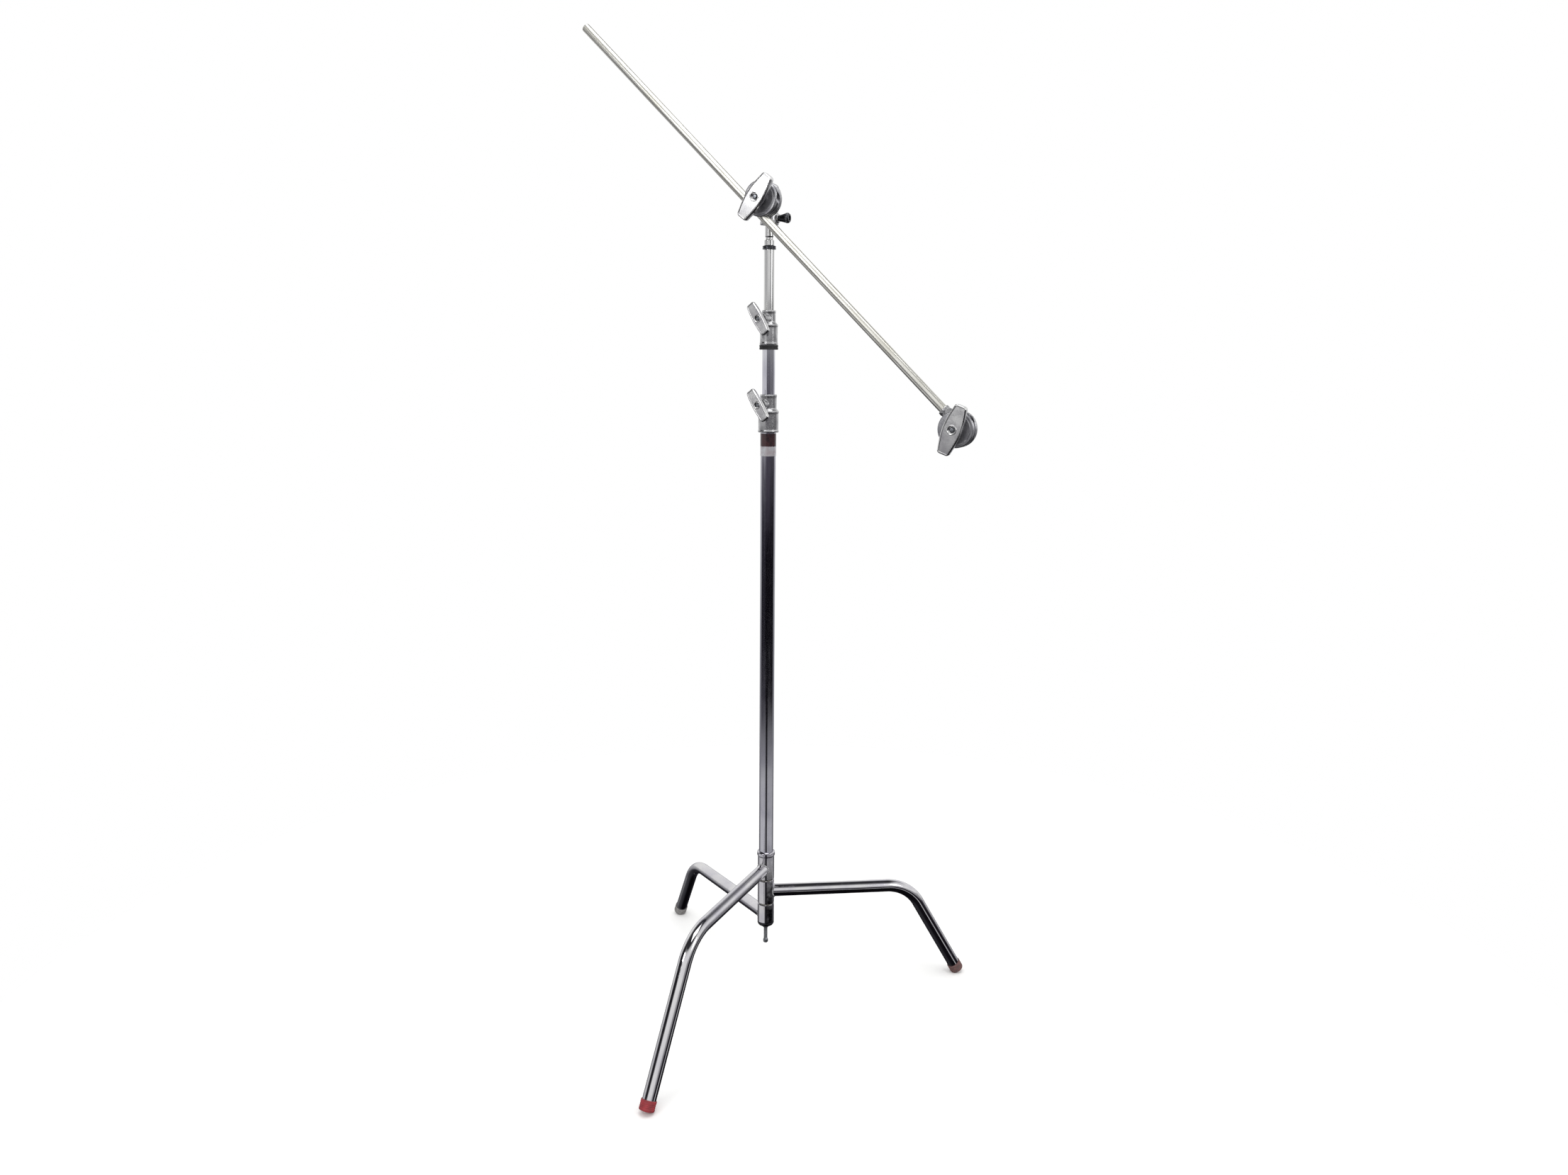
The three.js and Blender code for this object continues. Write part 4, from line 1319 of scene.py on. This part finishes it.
@dataclass
class Pin:
    """Standard spigot on top of the last tube, with the ring that holds it."""

    r: float = 7.95
    seat: float = 1497.0
    top: float = 1603.0
    plug_r: float = 7.73
    collar_r: float = 9.2
    ring_r: float = 12.4
    ring_bore: float = 8.1
    ring_height: float = 6.3

    def spigot(self) -> Mesh:
        """Pin with its collar, waist, grip groove and chamfered top.

        Returns:
            The closed mesh.
        """
        seat, top, r = self.seat, self.top, self.r
        collar = seat + 2 * GAP + self.ring_height
        return turned([(0, seat - 30), (self.plug_r, seat - 30), (self.plug_r, collar), (self.collar_r, collar),
                       (self.collar_r, seat + 16), (6.8, seat + 17.5), (6.8, seat + 21.5), (r, seat + 23),
                       (r, top - 16), (6.9, top - 14.5), (6.9, top - 8.5), (r, top - 7), (r, top - 1.5),
                       (r - 1.5, top), (0, top)], soft=0.4)

    def ring(self) -> Mesh:
        """Ring swaged on the tube's end, with a groove round its middle.

        Returns:
            The closed mesh.
        """
        low, high, r = self.seat + GAP, self.seat + GAP + self.ring_height, self.ring_r
        return turned([(self.ring_bore, low), (r, low), (r, low + 2.2), (r - 0.6, low + 2.6), (r - 0.6, low + 3.4),
                       (r, low + 3.8), (r, high - 1.2), (r - 1.2, high), (self.ring_bore, high)], soft=0.4)

    def build(self, paint: Paint) -> None:
        """Makes the pin and its ring.

        Args:
            paint: the stand's finishes.
        """
        place = frame_at(column_axis())
        # The pin takes the lighter chrome copy: painted highlight.
        show("baby_pin_turned", self.spigot(), place, paint.lit_copy_tube, "baby_pin")
        show("pin_ring_turned", self.ring(), place, paint.dark, "pin_ring")


# ---------------------------------------------------------------- grip heads


class Groove(Enum):
    """Rod grooves of a jaw: rod diameter, offset from the bolt and turn, in millimetres and degrees."""

    LARGE = (15.9, -21.0, 0)
    HALF_INCH = (12.7, 21.0, 0)
    THREE_EIGHTHS = (9.5, -22.0, 90)
    QUARTER = (6.4, 22.5, 90)


@dataclass
class JawStack:
    """Two grooved jaws on a clamp bolt, with their spring, thrust washer and wing handle."""

    prefix: str
    bolt_node: str
    face: float
    handle_tilt: float
    disc_r: float = 31.75
    thick: float = 7.7
    gap: float = 6.0
    bore: float = 5.3
    recess_r: float = 9.0
    recess: float = 3.0
    washer_thick: float = 2.4
    bolt_r: float = 5.0
    tooth: float = 2.4

    def inner(self) -> float:
        """Distance of the inner jaw's gripping face."""
        return self.face + GAP + self.thick

    def outer(self) -> float:
        """Distance of the outer jaw's gripping face."""
        return self.inner() + self.gap

    def middle(self) -> float:
        """Distance of the middle of the gap."""
        return (self.inner() + self.outer()) / 2

    def washer(self) -> float:
        """Distance of the thrust washer's near face."""
        return self.outer() + self.thick + GAP

    def end(self) -> float:
        """Distance of the wing handle's front."""
        return self.washer() + self.washer_thick + 2 * GAP + BIG_WING.hub + BIG_WING.plate

    def toothed_cutter(self, groove: Groove) -> Mesh:
        """Cutter of one rod groove, ridged so that the groove comes out toothed.

        Args:
            groove: which groove.

        Returns:
            The closed cutter.
        """
        rod, offset, turn = groove.value
        r, reach = rod / 2 + 0.5, 1.2 * self.disc_r
        count = int(2 * reach / self.tooth)
        outline = [(0, -reach)]
        for i in range(count + 1):
            at = -reach + i * self.tooth
            outline += [(r, at), (r + 0.7, at + 0.5 * self.tooth)]
        outline.append((0, outline[-1][1]))
        cutter = turned(outline, Along.RIGHT, 40, soft=0)
        moved(cutter, Matrix.Translation((0, -self.middle(), offset)))
        return moved(cutter, Matrix.Rotation(math.radians(turn), 4, "Y"))

    def jaw(self, face: float, outward: int) -> Mesh:
        """Jaw disc with its toothed face at the gap.

        Args:
            face: distance of the gripping face.
            outward: 1 where that face looks out along the bolt, -1 where it looks back.

        Returns:
            The closed mesh.
        """
        back, r = face - outward * self.thick, self.disc_r
        rim = [(r - 6.5, 0), (r - 5.0, 0.5), (r - 1.5, 0.5), (r, 1.8), (r, 3.2), (r - 0.5, 3.6), (r - 0.5, 4.2),
               (r, 4.6)]
        floor = face - outward * self.recess
        outline = [(self.bore, back), *((radius, back + outward * up) for radius, up in rim),
                   (r, face - outward), (r - 1, face), (self.recess_r, face), (self.recess_r, floor),
                   (self.bore, floor)]
        disc = turned(outline, Along.FORWARD, soft=0.45)
        return carved(disc, [self.toothed_cutter(groove) for groove in Groove])

    def bolt(self, head_start: float, paint: Paint) -> Mesh:
        """Clamp bolt: flat head in the body, smooth shank, threaded end with a domed tip.

        Args:
            head_start: distance of its head.
            paint: the stand's finishes.

        Returns:
            The bolt, with its finish set.
        """
        r, neck, tip = self.bolt_r, head_start + 3.4, self.end() - 2
        threaded = self.outer()
        core = turned([(0, head_start), (7, head_start), (7, neck), (r, neck), (r, threaded - 1),
                       (r - 0.4, threaded), (r - 0.4, tip - 2), (r - 1.6, tip), (0, tip)],
                      Along.FORWARD, SMALL_SIDES, soft=0.5)
        socket = bar(2.6, head_start - 1, head_start + 2, Along.FORWARD, sides=6)
        core = carved(core, [socket])
        core.materials.append(paint.zinc)
        length = tip - threaded - 3.2
        thread = grown(Repeat.COIL, paint.zinc, {
            "Radius": r - BOLT_THREAD, "Wire": BOLT_THREAD, "Height": length,
            "Turns": float(round(length / BOLT_PITCH)),
        })
        moved(thread, Along.FORWARD.value @ Matrix.Translation((0, 0, threaded + 0.8)))
        return joined([core, thread])

    def build(self, jaws: Matrix, origin: Sequence[float], axis: Sequence[float], head_start: float,
              paint: Paint) -> None:
        """Makes the stack.

        Args:
            jaws: frame of the jaws, with the large groove along its X.
            origin: where the bolt's axis starts, in metres.
            axis: direction of the bolt.
            head_start: distance of the bolt's head.
            paint: the stand's finishes.
        """
        prefix = self.prefix
        for side, face, outward in (("inner", self.inner(), 1), ("outer", self.outer(), -1)):
            node = f"{prefix}_{side}_jaw"
            show(f"{node}_grooved", self.jaw(face, outward), jaws, paint.jaw, node, crease=26)
        start, end = self.inner() - self.recess + GAP, self.outer() + self.recess - GAP
        spring = grown(Repeat.COIL, paint.zinc, {"Radius": 7.2, "Wire": 0.8, "Height": end - start - 1.6,
                                                 "Turns": 3.0})
        moved(spring, Along.FORWARD.value @ Matrix.Translation((0, 0, start + 0.8)))
        show(f"{prefix}_jaw_spring_coil", spring, jaws, None, f"{prefix}_jaw_spring")
        washer = tube(12, self.bore, self.washer(), self.washer() + self.washer_thick, Along.FORWARD, soft=0.5)
        show(f"{prefix}_thrust_washer_disc", washer, jaws, paint.zinc, f"{prefix}_thrust_washer")
        upright = frame_at(origin, axis)
        show(f"{prefix}_clamp_bolt", self.bolt(head_start, paint), upright, None, self.bolt_node)
        tilted = frame_at(origin, axis, self.handle_tilt)
        show(f"{prefix}_wing_handle_forged", BIG_WING.mesh(self.end()), tilted, paint.wing,
             f"{prefix}_wing_handle")


@dataclass
class GripHead:
    """Head on the pin: the receiver casting with its friction disc, the pin lock and the jaws."""

    stack: JawStack = field(default_factory=lambda: JawStack("head", "head_bolt", 20.0, 37.0))
    r: float = 17.0
    bottom: float = -42.0
    top: float = 28.0
    bore: float = 8.25
    lock: float = -31.0
    boss_r: float = 8.0
    boss_end: float = 19.5
    bolt_head: float = 9.25

    def casting(self) -> Mesh:
        """Receiver, disc and lock boss cast in one, then bored.

        Returns:
            The casting.
        """
        r, low, high, big = self.r, self.bottom, self.top, self.stack.disc_r
        shell = turned([(0, low), (r, low), (r, low + 5), (r - 1, low + 6.5), (r - 1, high - 8), (r, high - 6.5),
                        (r, high - 4), (r - 4, high), (0, high)], soft=0.9)
        back = self.stack.face - 6
        disc = turned([(0, 5), (21, 5), (21, back - 3), (24, back), (big, back), (big, back + 2),
                       (big - 0.5, back + 2.4), (big - 0.5, back + 3.1), (big, back + 3.5),
                       (big, self.stack.face), (0, self.stack.face)], Along.FORWARD, soft=0.8)
        at = Matrix.Translation((0, 0, self.lock))
        boss = moved(turned([(0, 5), (self.boss_r, 5), (self.boss_r, self.boss_end), (0, self.boss_end)],
                            Along.RIGHT, soft=0.7), at)
        cuts = [bar(self.bore, low - 1, high + 1), bar(BOLT_RECESS, 0, 13, Along.FORWARD, SMALL_SIDES),
                bar(BOLT_BORE, 0, self.stack.face + 1, Along.FORWARD, SMALL_SIDES),
                moved(bar(SCREW_BORE, 0, self.boss_end + 1, Along.RIGHT, SMALL_SIDES), at)]
        return cast([shell, disc, boss], cuts)

    def knob(self, paint: Paint) -> Mesh:
        """Flared lock knob with flutes round its rim.

        Args:
            paint: the stand's finishes.

        Returns:
            The knob, with its finish set.
        """
        bore = SCREW_BORE
        core = turned([(bore, 20.5), (5.6, 20.5), (6.2, 24.5), (8.7, 34), (8.7, 38), (7.4, 40), (bore, 40)],
                      Along.RIGHT, SIDES, soft=0.7)
        core.materials.append(paint.knob)
        flutes = grown(Repeat.STUDS, paint.knob, {"Count": 18, "Radius": 8.4, "Size": (0.8, 0.8, 2.5)})
        moved(flutes, Along.RIGHT.value @ Matrix.Translation((0, 0, 35.9)))
        return joined([core, flutes])

    def build(self, paint: Paint) -> None:
        """Makes the head on its tilt joint's axis.

        Args:
            paint: the stand's finishes.
        """
        tilt = joint("arm_tilt")
        upright = frame_at(tilt["pos_m"], tilt["axis"])
        show("head_body_casting", self.casting(), upright, paint.casting, "head_body")
        lock = lift(upright, z=self.lock)
        show("receiver_pad_button", pad_button(self.bore, 3.0, Along.RIGHT), lock, paint.nylon, "receiver_pad")
        bolt = screw(SCREW_R, self.bore + 3.3, 38.0, Along.RIGHT, paint)
        show("receiver_screw_threaded", bolt, lock, None, "receiver_screw")
        show("receiver_knob_fluted", self.knob(paint), lock, None, "receiver_knob")
        jaws = frame_at(tilt["pos_m"], tilt["axis"], arm_fall())
        self.stack.build(jaws, tilt["pos_m"], tilt["axis"], self.bolt_head, paint)


@dataclass
class Arm:
    """Long ground rod held in the head's large groove."""

    r: float = 7.95
    left: float = -485.5
    length: float = 1016.0
    chamfer: float = 0.8

    def build(self, paint: Paint) -> None:
        """Makes the rod in the jaws' frame.

        Args:
            paint: the stand's finishes.
        """
        tilt = joint("arm_tilt")
        jaws = frame_at(tilt["pos_m"], tilt["axis"], arm_fall())
        right = self.left + self.length
        rod = turned([(0, self.left), (self.r - self.chamfer, self.left), (self.r, self.left + self.chamfer),
                      (self.r, right - self.chamfer), (self.r - self.chamfer, right), (0, right)],
                     Along.RIGHT, SIDES, soft=0.3)
        middle = JawStack("head", "head_bolt", 20.0, 0).middle()
        show("arm_rod_ground", rod, lift(jaws, y=-middle, z=Groove.LARGE.value[1]), paint.rod, "arm_rod")


@dataclass
class EndHead:
    """Second grip head, fixed on the arm's lower end."""

    stack: JawStack = field(default_factory=lambda: JawStack("end", "end_head_bolt", 16.0, 20.2))
    back: float = -11.0
    hub_r: float = 17.0
    neck_r: float = 10.6
    neck: float = 46.0
    rod_stop: float = 17.5
    rod_r: float = 7.95

    def casting(self) -> Mesh:
        """Hub, friction disc and rod neck cast in one, then bored.

        Returns:
            The casting.
        """
        face, big = self.stack.face, self.stack.disc_r
        hub = turned([(0, self.back), (self.hub_r - 2, self.back), (self.hub_r, self.back + 2),
                      (self.hub_r, face - 9), (self.hub_r + 3, face - 6), (big, face - 6), (big, face - 4),
                      (big - 0.5, face - 3.6), (big - 0.5, face - 2.9), (big, face - 2.5), (big, face), (0, face)],
                     Along.FORWARD, soft=0.8)
        r, neck = self.neck_r, self.neck
        socket = turned([(0, 0), (r - 0.5, 0), (r - 0.5, neck - 6), (r, neck - 5), (r, neck), (0, neck)],
                        Along.LEFT, soft=0.7)
        cuts = [bar(self.rod_r + GAP, self.rod_stop, neck + 1, Along.LEFT),
                bar(BOLT_RECESS, self.back - 1, self.back + 5, Along.FORWARD, SMALL_SIDES),
                bar(BOLT_BORE, self.back, face + 1, Along.FORWARD, SMALL_SIDES)]
        return cast([hub, socket], cuts)

    def set_screw(self) -> Mesh:
        """Socket set screw in the neck, which holds the rod."""
        plug = turned([(0, 8.4), (2.4, 8.4), (2.4, 10.9), (0, 10.9)], sides=SMALL_SIDES, soft=0.3)
        return carved(plug, [bar(1.3, 9.6, 12, sides=6)])

    def build(self, paint: Paint) -> None:
        """Makes the end head on its own bolt's axis.

        Args:
            paint: the stand's finishes.
        """
        turn = joint("end_jaws_turn")
        leaning = frame_at(turn["pos_m"], turn["axis"], arm_fall())
        show("end_head_body_casting", self.casting(), leaning, paint.casting, "end_head_body")
        show("end_neck_set_screw", self.set_screw(), lift(leaning, x=-36), paint.zinc, "end_head_body",
             stands_for=False)
        jaws = frame_at(turn["pos_m"], turn["axis"], -90)
        self.stack.build(jaws, turn["pos_m"], turn["axis"], self.back + 1, paint)


def arm_fall() -> float:
    """Fall of the arm towards its lower end, in degrees."""
    x, y, z = joint("arm_slide")["axis"]
    return math.degrees(math.atan2(-z, math.hypot(x, y)))


# ---------------------------------------------------------------- studio


class Wall(Enum):
    """Shades of the studio's walls that the plating mirrors: the sine of the height above level, and a colour.

    Dark cloth hangs low all round and overhead, with white panels between.
    """

    FRONT = ((-1.0, "#0B0A0D"), (-0.60, "#1A181E"), (-0.45, "#1A191D"), (-0.37, "#2A292D"), (-0.32, "#0E0C11"),
             (-0.150, "#0E0C12"), (-0.132, "#3C3742"), (-0.10, "#524C58"), (-0.06, "#504B56"), (-0.02, "#5C5A61"),
             (0.015, "#96969A"), (0.06, "#E4E4E5"), (0.50, "#FFFFFF"), (0.68, "#E0E0E0"), (0.80, "#3C3C40"),
             (1.0, "#2A2A2C"))
    LEFT = ((-1.0, "#202024"), (-0.60, "#505054"), (-0.48, "#E8E8E8"), (-0.37, "#D4D4D6"), (-0.30, "#45434B"),
            (-0.25, "#1E1C23"), (-0.15, "#2E2C34"), (-0.085, "#5A5660"), (-0.068, "#D8D8DA"), (0.0, "#F4F4F4"),
            (0.05, "#B8B8BA"), (0.14, "#C4C4C6"), (0.19, "#26252A"), (0.60, "#17161A"), (1.0, "#2A2A2C"))
    RIGHT = ((-1.0, "#0B0A0D"), (-0.43, "#0B0A0D"), (-0.41, "#D8D8DA"), (-0.35, "#B4B4B6"), (-0.29, "#121016"),
             (-0.15, "#121016"), (-0.08, "#45424A"), (-0.04, "#77757B"), (0.0, "#9A9A9C"), (0.15, "#B4B4B6"),
             (0.22, "#FFFFFF"), (0.75, "#F0F0F0"), (0.90, "#505054"), (1.0, "#303034"))
    BACK = ((-1.0, "#101014"), (-0.50, "#2E2D33"), (-0.35, "#8E8E92"), (-0.10, "#C8C8CA"), (0.0, "#F4F4F4"),
            (0.50, "#FFFFFF"), (0.60, "#C8C8CA"), (0.80, "#2E2E33"), (1.0, "#2A2A2E"))


@dataclass
class Studio:
    """Pale floor, white surround with banded walls for the plating to mirror, soft lights and the camera."""

    floor_r: float = 1.6
    camera_back: float = 2.203
    camera_height: float = 1.3057
    pitch: float = -11.23
    yaw: float = -0.83
    roll: float = 0.47
    lens: float = 26.71
    lights: tuple = (("overhead", (0.2, -0.4, 3.4), 1.8, 26), ("front_left", (-2.4, -2.6, 2.6), 1.2, 20),
                     ("front_right", (2.8, -1.8, 2.0), 1.0, 10))

    def floor(self) -> None:
        """Round pale floor under the feet."""
        mesh = turned([(0, -20), (self.floor_r / MM, -20), (self.floor_r / MM, -0.5), (0, -0.5)], soft=0)
        mesh.transform(Matrix.Scale(MM, 4))
        material = bpy.data.materials.new("pale_floor")
        material.use_nodes = True
        shader = material.node_tree.nodes["Principled BSDF"]
        shader.inputs["Base Color"].default_value = linear("#F6F6F5")
        shader.inputs["Roughness"].default_value = 0.7
        mesh.materials.append(material)
        obj = bpy.data.objects.new("floor", mesh)
        obj.visible_glossy = False
        bpy.context.scene.collection.objects.link(obj)

    def surround(self) -> None:
        """White surround for the eye, with the banded walls for mirror reflections only."""
        world = bpy.data.worlds.new("studio")
        bpy.context.scene.world = world
        world.use_nodes = True
        tree = world.node_tree
        tree.nodes.clear()
        way = add_node(tree, "ShaderNodeTexCoord").outputs["Generated"]
        parts = add_node(tree, "ShaderNodeSeparateXYZ", links={0: way}).outputs
        height = add_node(tree, "ShaderNodeMapRange", {1: -1.0, 2: 1.0, 3: 0.0, 4: 1.0}, {0: parts[2]}).outputs[0]
        front, left, right, back = (self.banded(tree, height, side) for side in Wall)
        low = add_node(tree, "ShaderNodeMapRange", {1: -0.25, 2: -0.32, 3: 0.0, 4: 0.3}, {0: parts[2]}).outputs[0]
        shifted = add_node(tree, "ShaderNodeMath", {"operation": "SUBTRACT"}, {0: parts[0], 1: low}).outputs[0]
        narrowed = add_node(tree, "ShaderNodeMath", {"operation": "ADD"}, {0: parts[0], 1: low}).outputs[0]
        walls = front
        # Each wall fades in between two directions: sideways for the left and right, away for the back.
        for wall, across, start, end in ((left, shifted, -0.42, -0.68), (right, narrowed, 0.40, 0.62),
                                         (back, parts[1], 0.10, 0.50)):
            edge = add_node(tree, "ShaderNodeMapRange", {1: start, 2: end, 3: 0.0, 4: 1.0}, {0: across}).outputs[0]
            walls = Finish.blend(tree, edge, walls, wall)
        white = linear("#FFFFFF")
        mirrored = add_node(tree, "ShaderNodeLightPath").outputs["Is Glossy Ray"]
        seen = Finish.blend(tree, mirrored, white, walls)
        sky = add_node(tree, "ShaderNodeBackground", links={0: seen})
        add_node(tree, "ShaderNodeOutputWorld", links={0: sky.outputs[0]})

    @staticmethod
    def banded(tree: bpy.types.NodeTree, height: bpy.types.NodeSocket, wall: Wall) -> bpy.types.NodeSocket:
        """Shade of one wall of the studio by height, from straight down to straight up.

        Args:
            tree: the world's tree.
            height: 0 straight down to 1 straight up.
            wall: which wall.

        Returns:
            The colour socket.
        """
        node = add_node(tree, "ShaderNodeValToRGB", links={0: height})
        elements = node.color_ramp.elements
        for up, code in wall.value[1:-1]:
            elements.new((up + 1) / 2).color = linear(code)
        elements[0].color, elements[-1].color = linear(wall.value[0][1]), linear(wall.value[-1][1])
        return node.outputs[0]

    def light(self, name: str, at: tuple[float, float, float], size: float, power: float) -> None:
        """Soft square light aimed at the middle of the stand.

        Args:
            name: the light's name.
            at: its place, in metres.
            size: its side, in metres.
            power: its power, in watts.
        """
        lamp = bpy.data.lights.new(name, "AREA")
        lamp.shape, lamp.size, lamp.energy = "SQUARE", size, power
        obj = bpy.data.objects.new(name, lamp)
        obj.location = at
        obj.rotation_euler = (Vector((0, 0, 0.9)) - Vector(at)).to_track_quat("-Z", "Y").to_euler()
        obj.visible_camera = False
        bpy.context.scene.collection.objects.link(obj)

    def camera(self) -> None:
        """Camera in front of the column, looking slightly down."""
        data = bpy.data.cameras.new("camera")
        data.lens, data.sensor_width = self.lens, 36.0
        camera = bpy.data.objects.new("camera", data)
        turn = Matrix.Rotation(math.radians(self.yaw), 4, "Z")
        nod = Matrix.Rotation(math.radians(90 + self.pitch), 4, "X")
        roll = Matrix.Rotation(math.radians(self.roll), 4, "Z")
        at = column_axis() + Vector((0, -self.camera_back, self.camera_height))
        camera.matrix_world = Matrix.Translation(at) @ turn @ nod @ roll
        bpy.context.scene.collection.objects.link(camera)
        bpy.context.scene.camera = camera

    def build(self) -> None:
        """Sets up the floor, surround, lights and camera."""
        self.floor()
        self.surround()
        for name, at, size, power in self.lights:
            self.light(name, at, size, power)
        self.camera()
        bpy.context.scene.view_settings.view_transform = "Standard"


# ---------------------------------------------------------------- the whole stand


def main() -> None:
    """Builds every sub-assembly in order, from the floor up."""
    logging.basicConfig(level=logging.INFO, format="%(message)s")
    axis = joint("arm_tilt")["axis"]
    paint = Paint(math.degrees(math.atan2(axis[0], -axis[1])), arm_fall())
    legs = [
        Leg("high", 290, 279, 267.1, 318, paint.foot),
        Leg("mid", 240, 310, 215.3, 265.9, paint.worn_foot),
        Leg("low", 188, 342, 173.8, 214.1, paint.dusty_foot),
    ]
    knuckles = [
        Knuckle("lower", 0, 14.3, 11.9, 19.5, 15.8, 30, 39, 51, 70),
        Knuckle("upper", 8.8, 11.9, 9.53, 17, 13, 36, 45, 55, 71),
    ]
    for assembly in [*legs, BaseHub(), Column(), *knuckles, Pin(), GripHead(), Arm(), EndHead()]:
        log.info("building %s", type(assembly).__name__)
        assembly.build(paint)
    Studio().build()


if __name__ == "__main__":
    main()
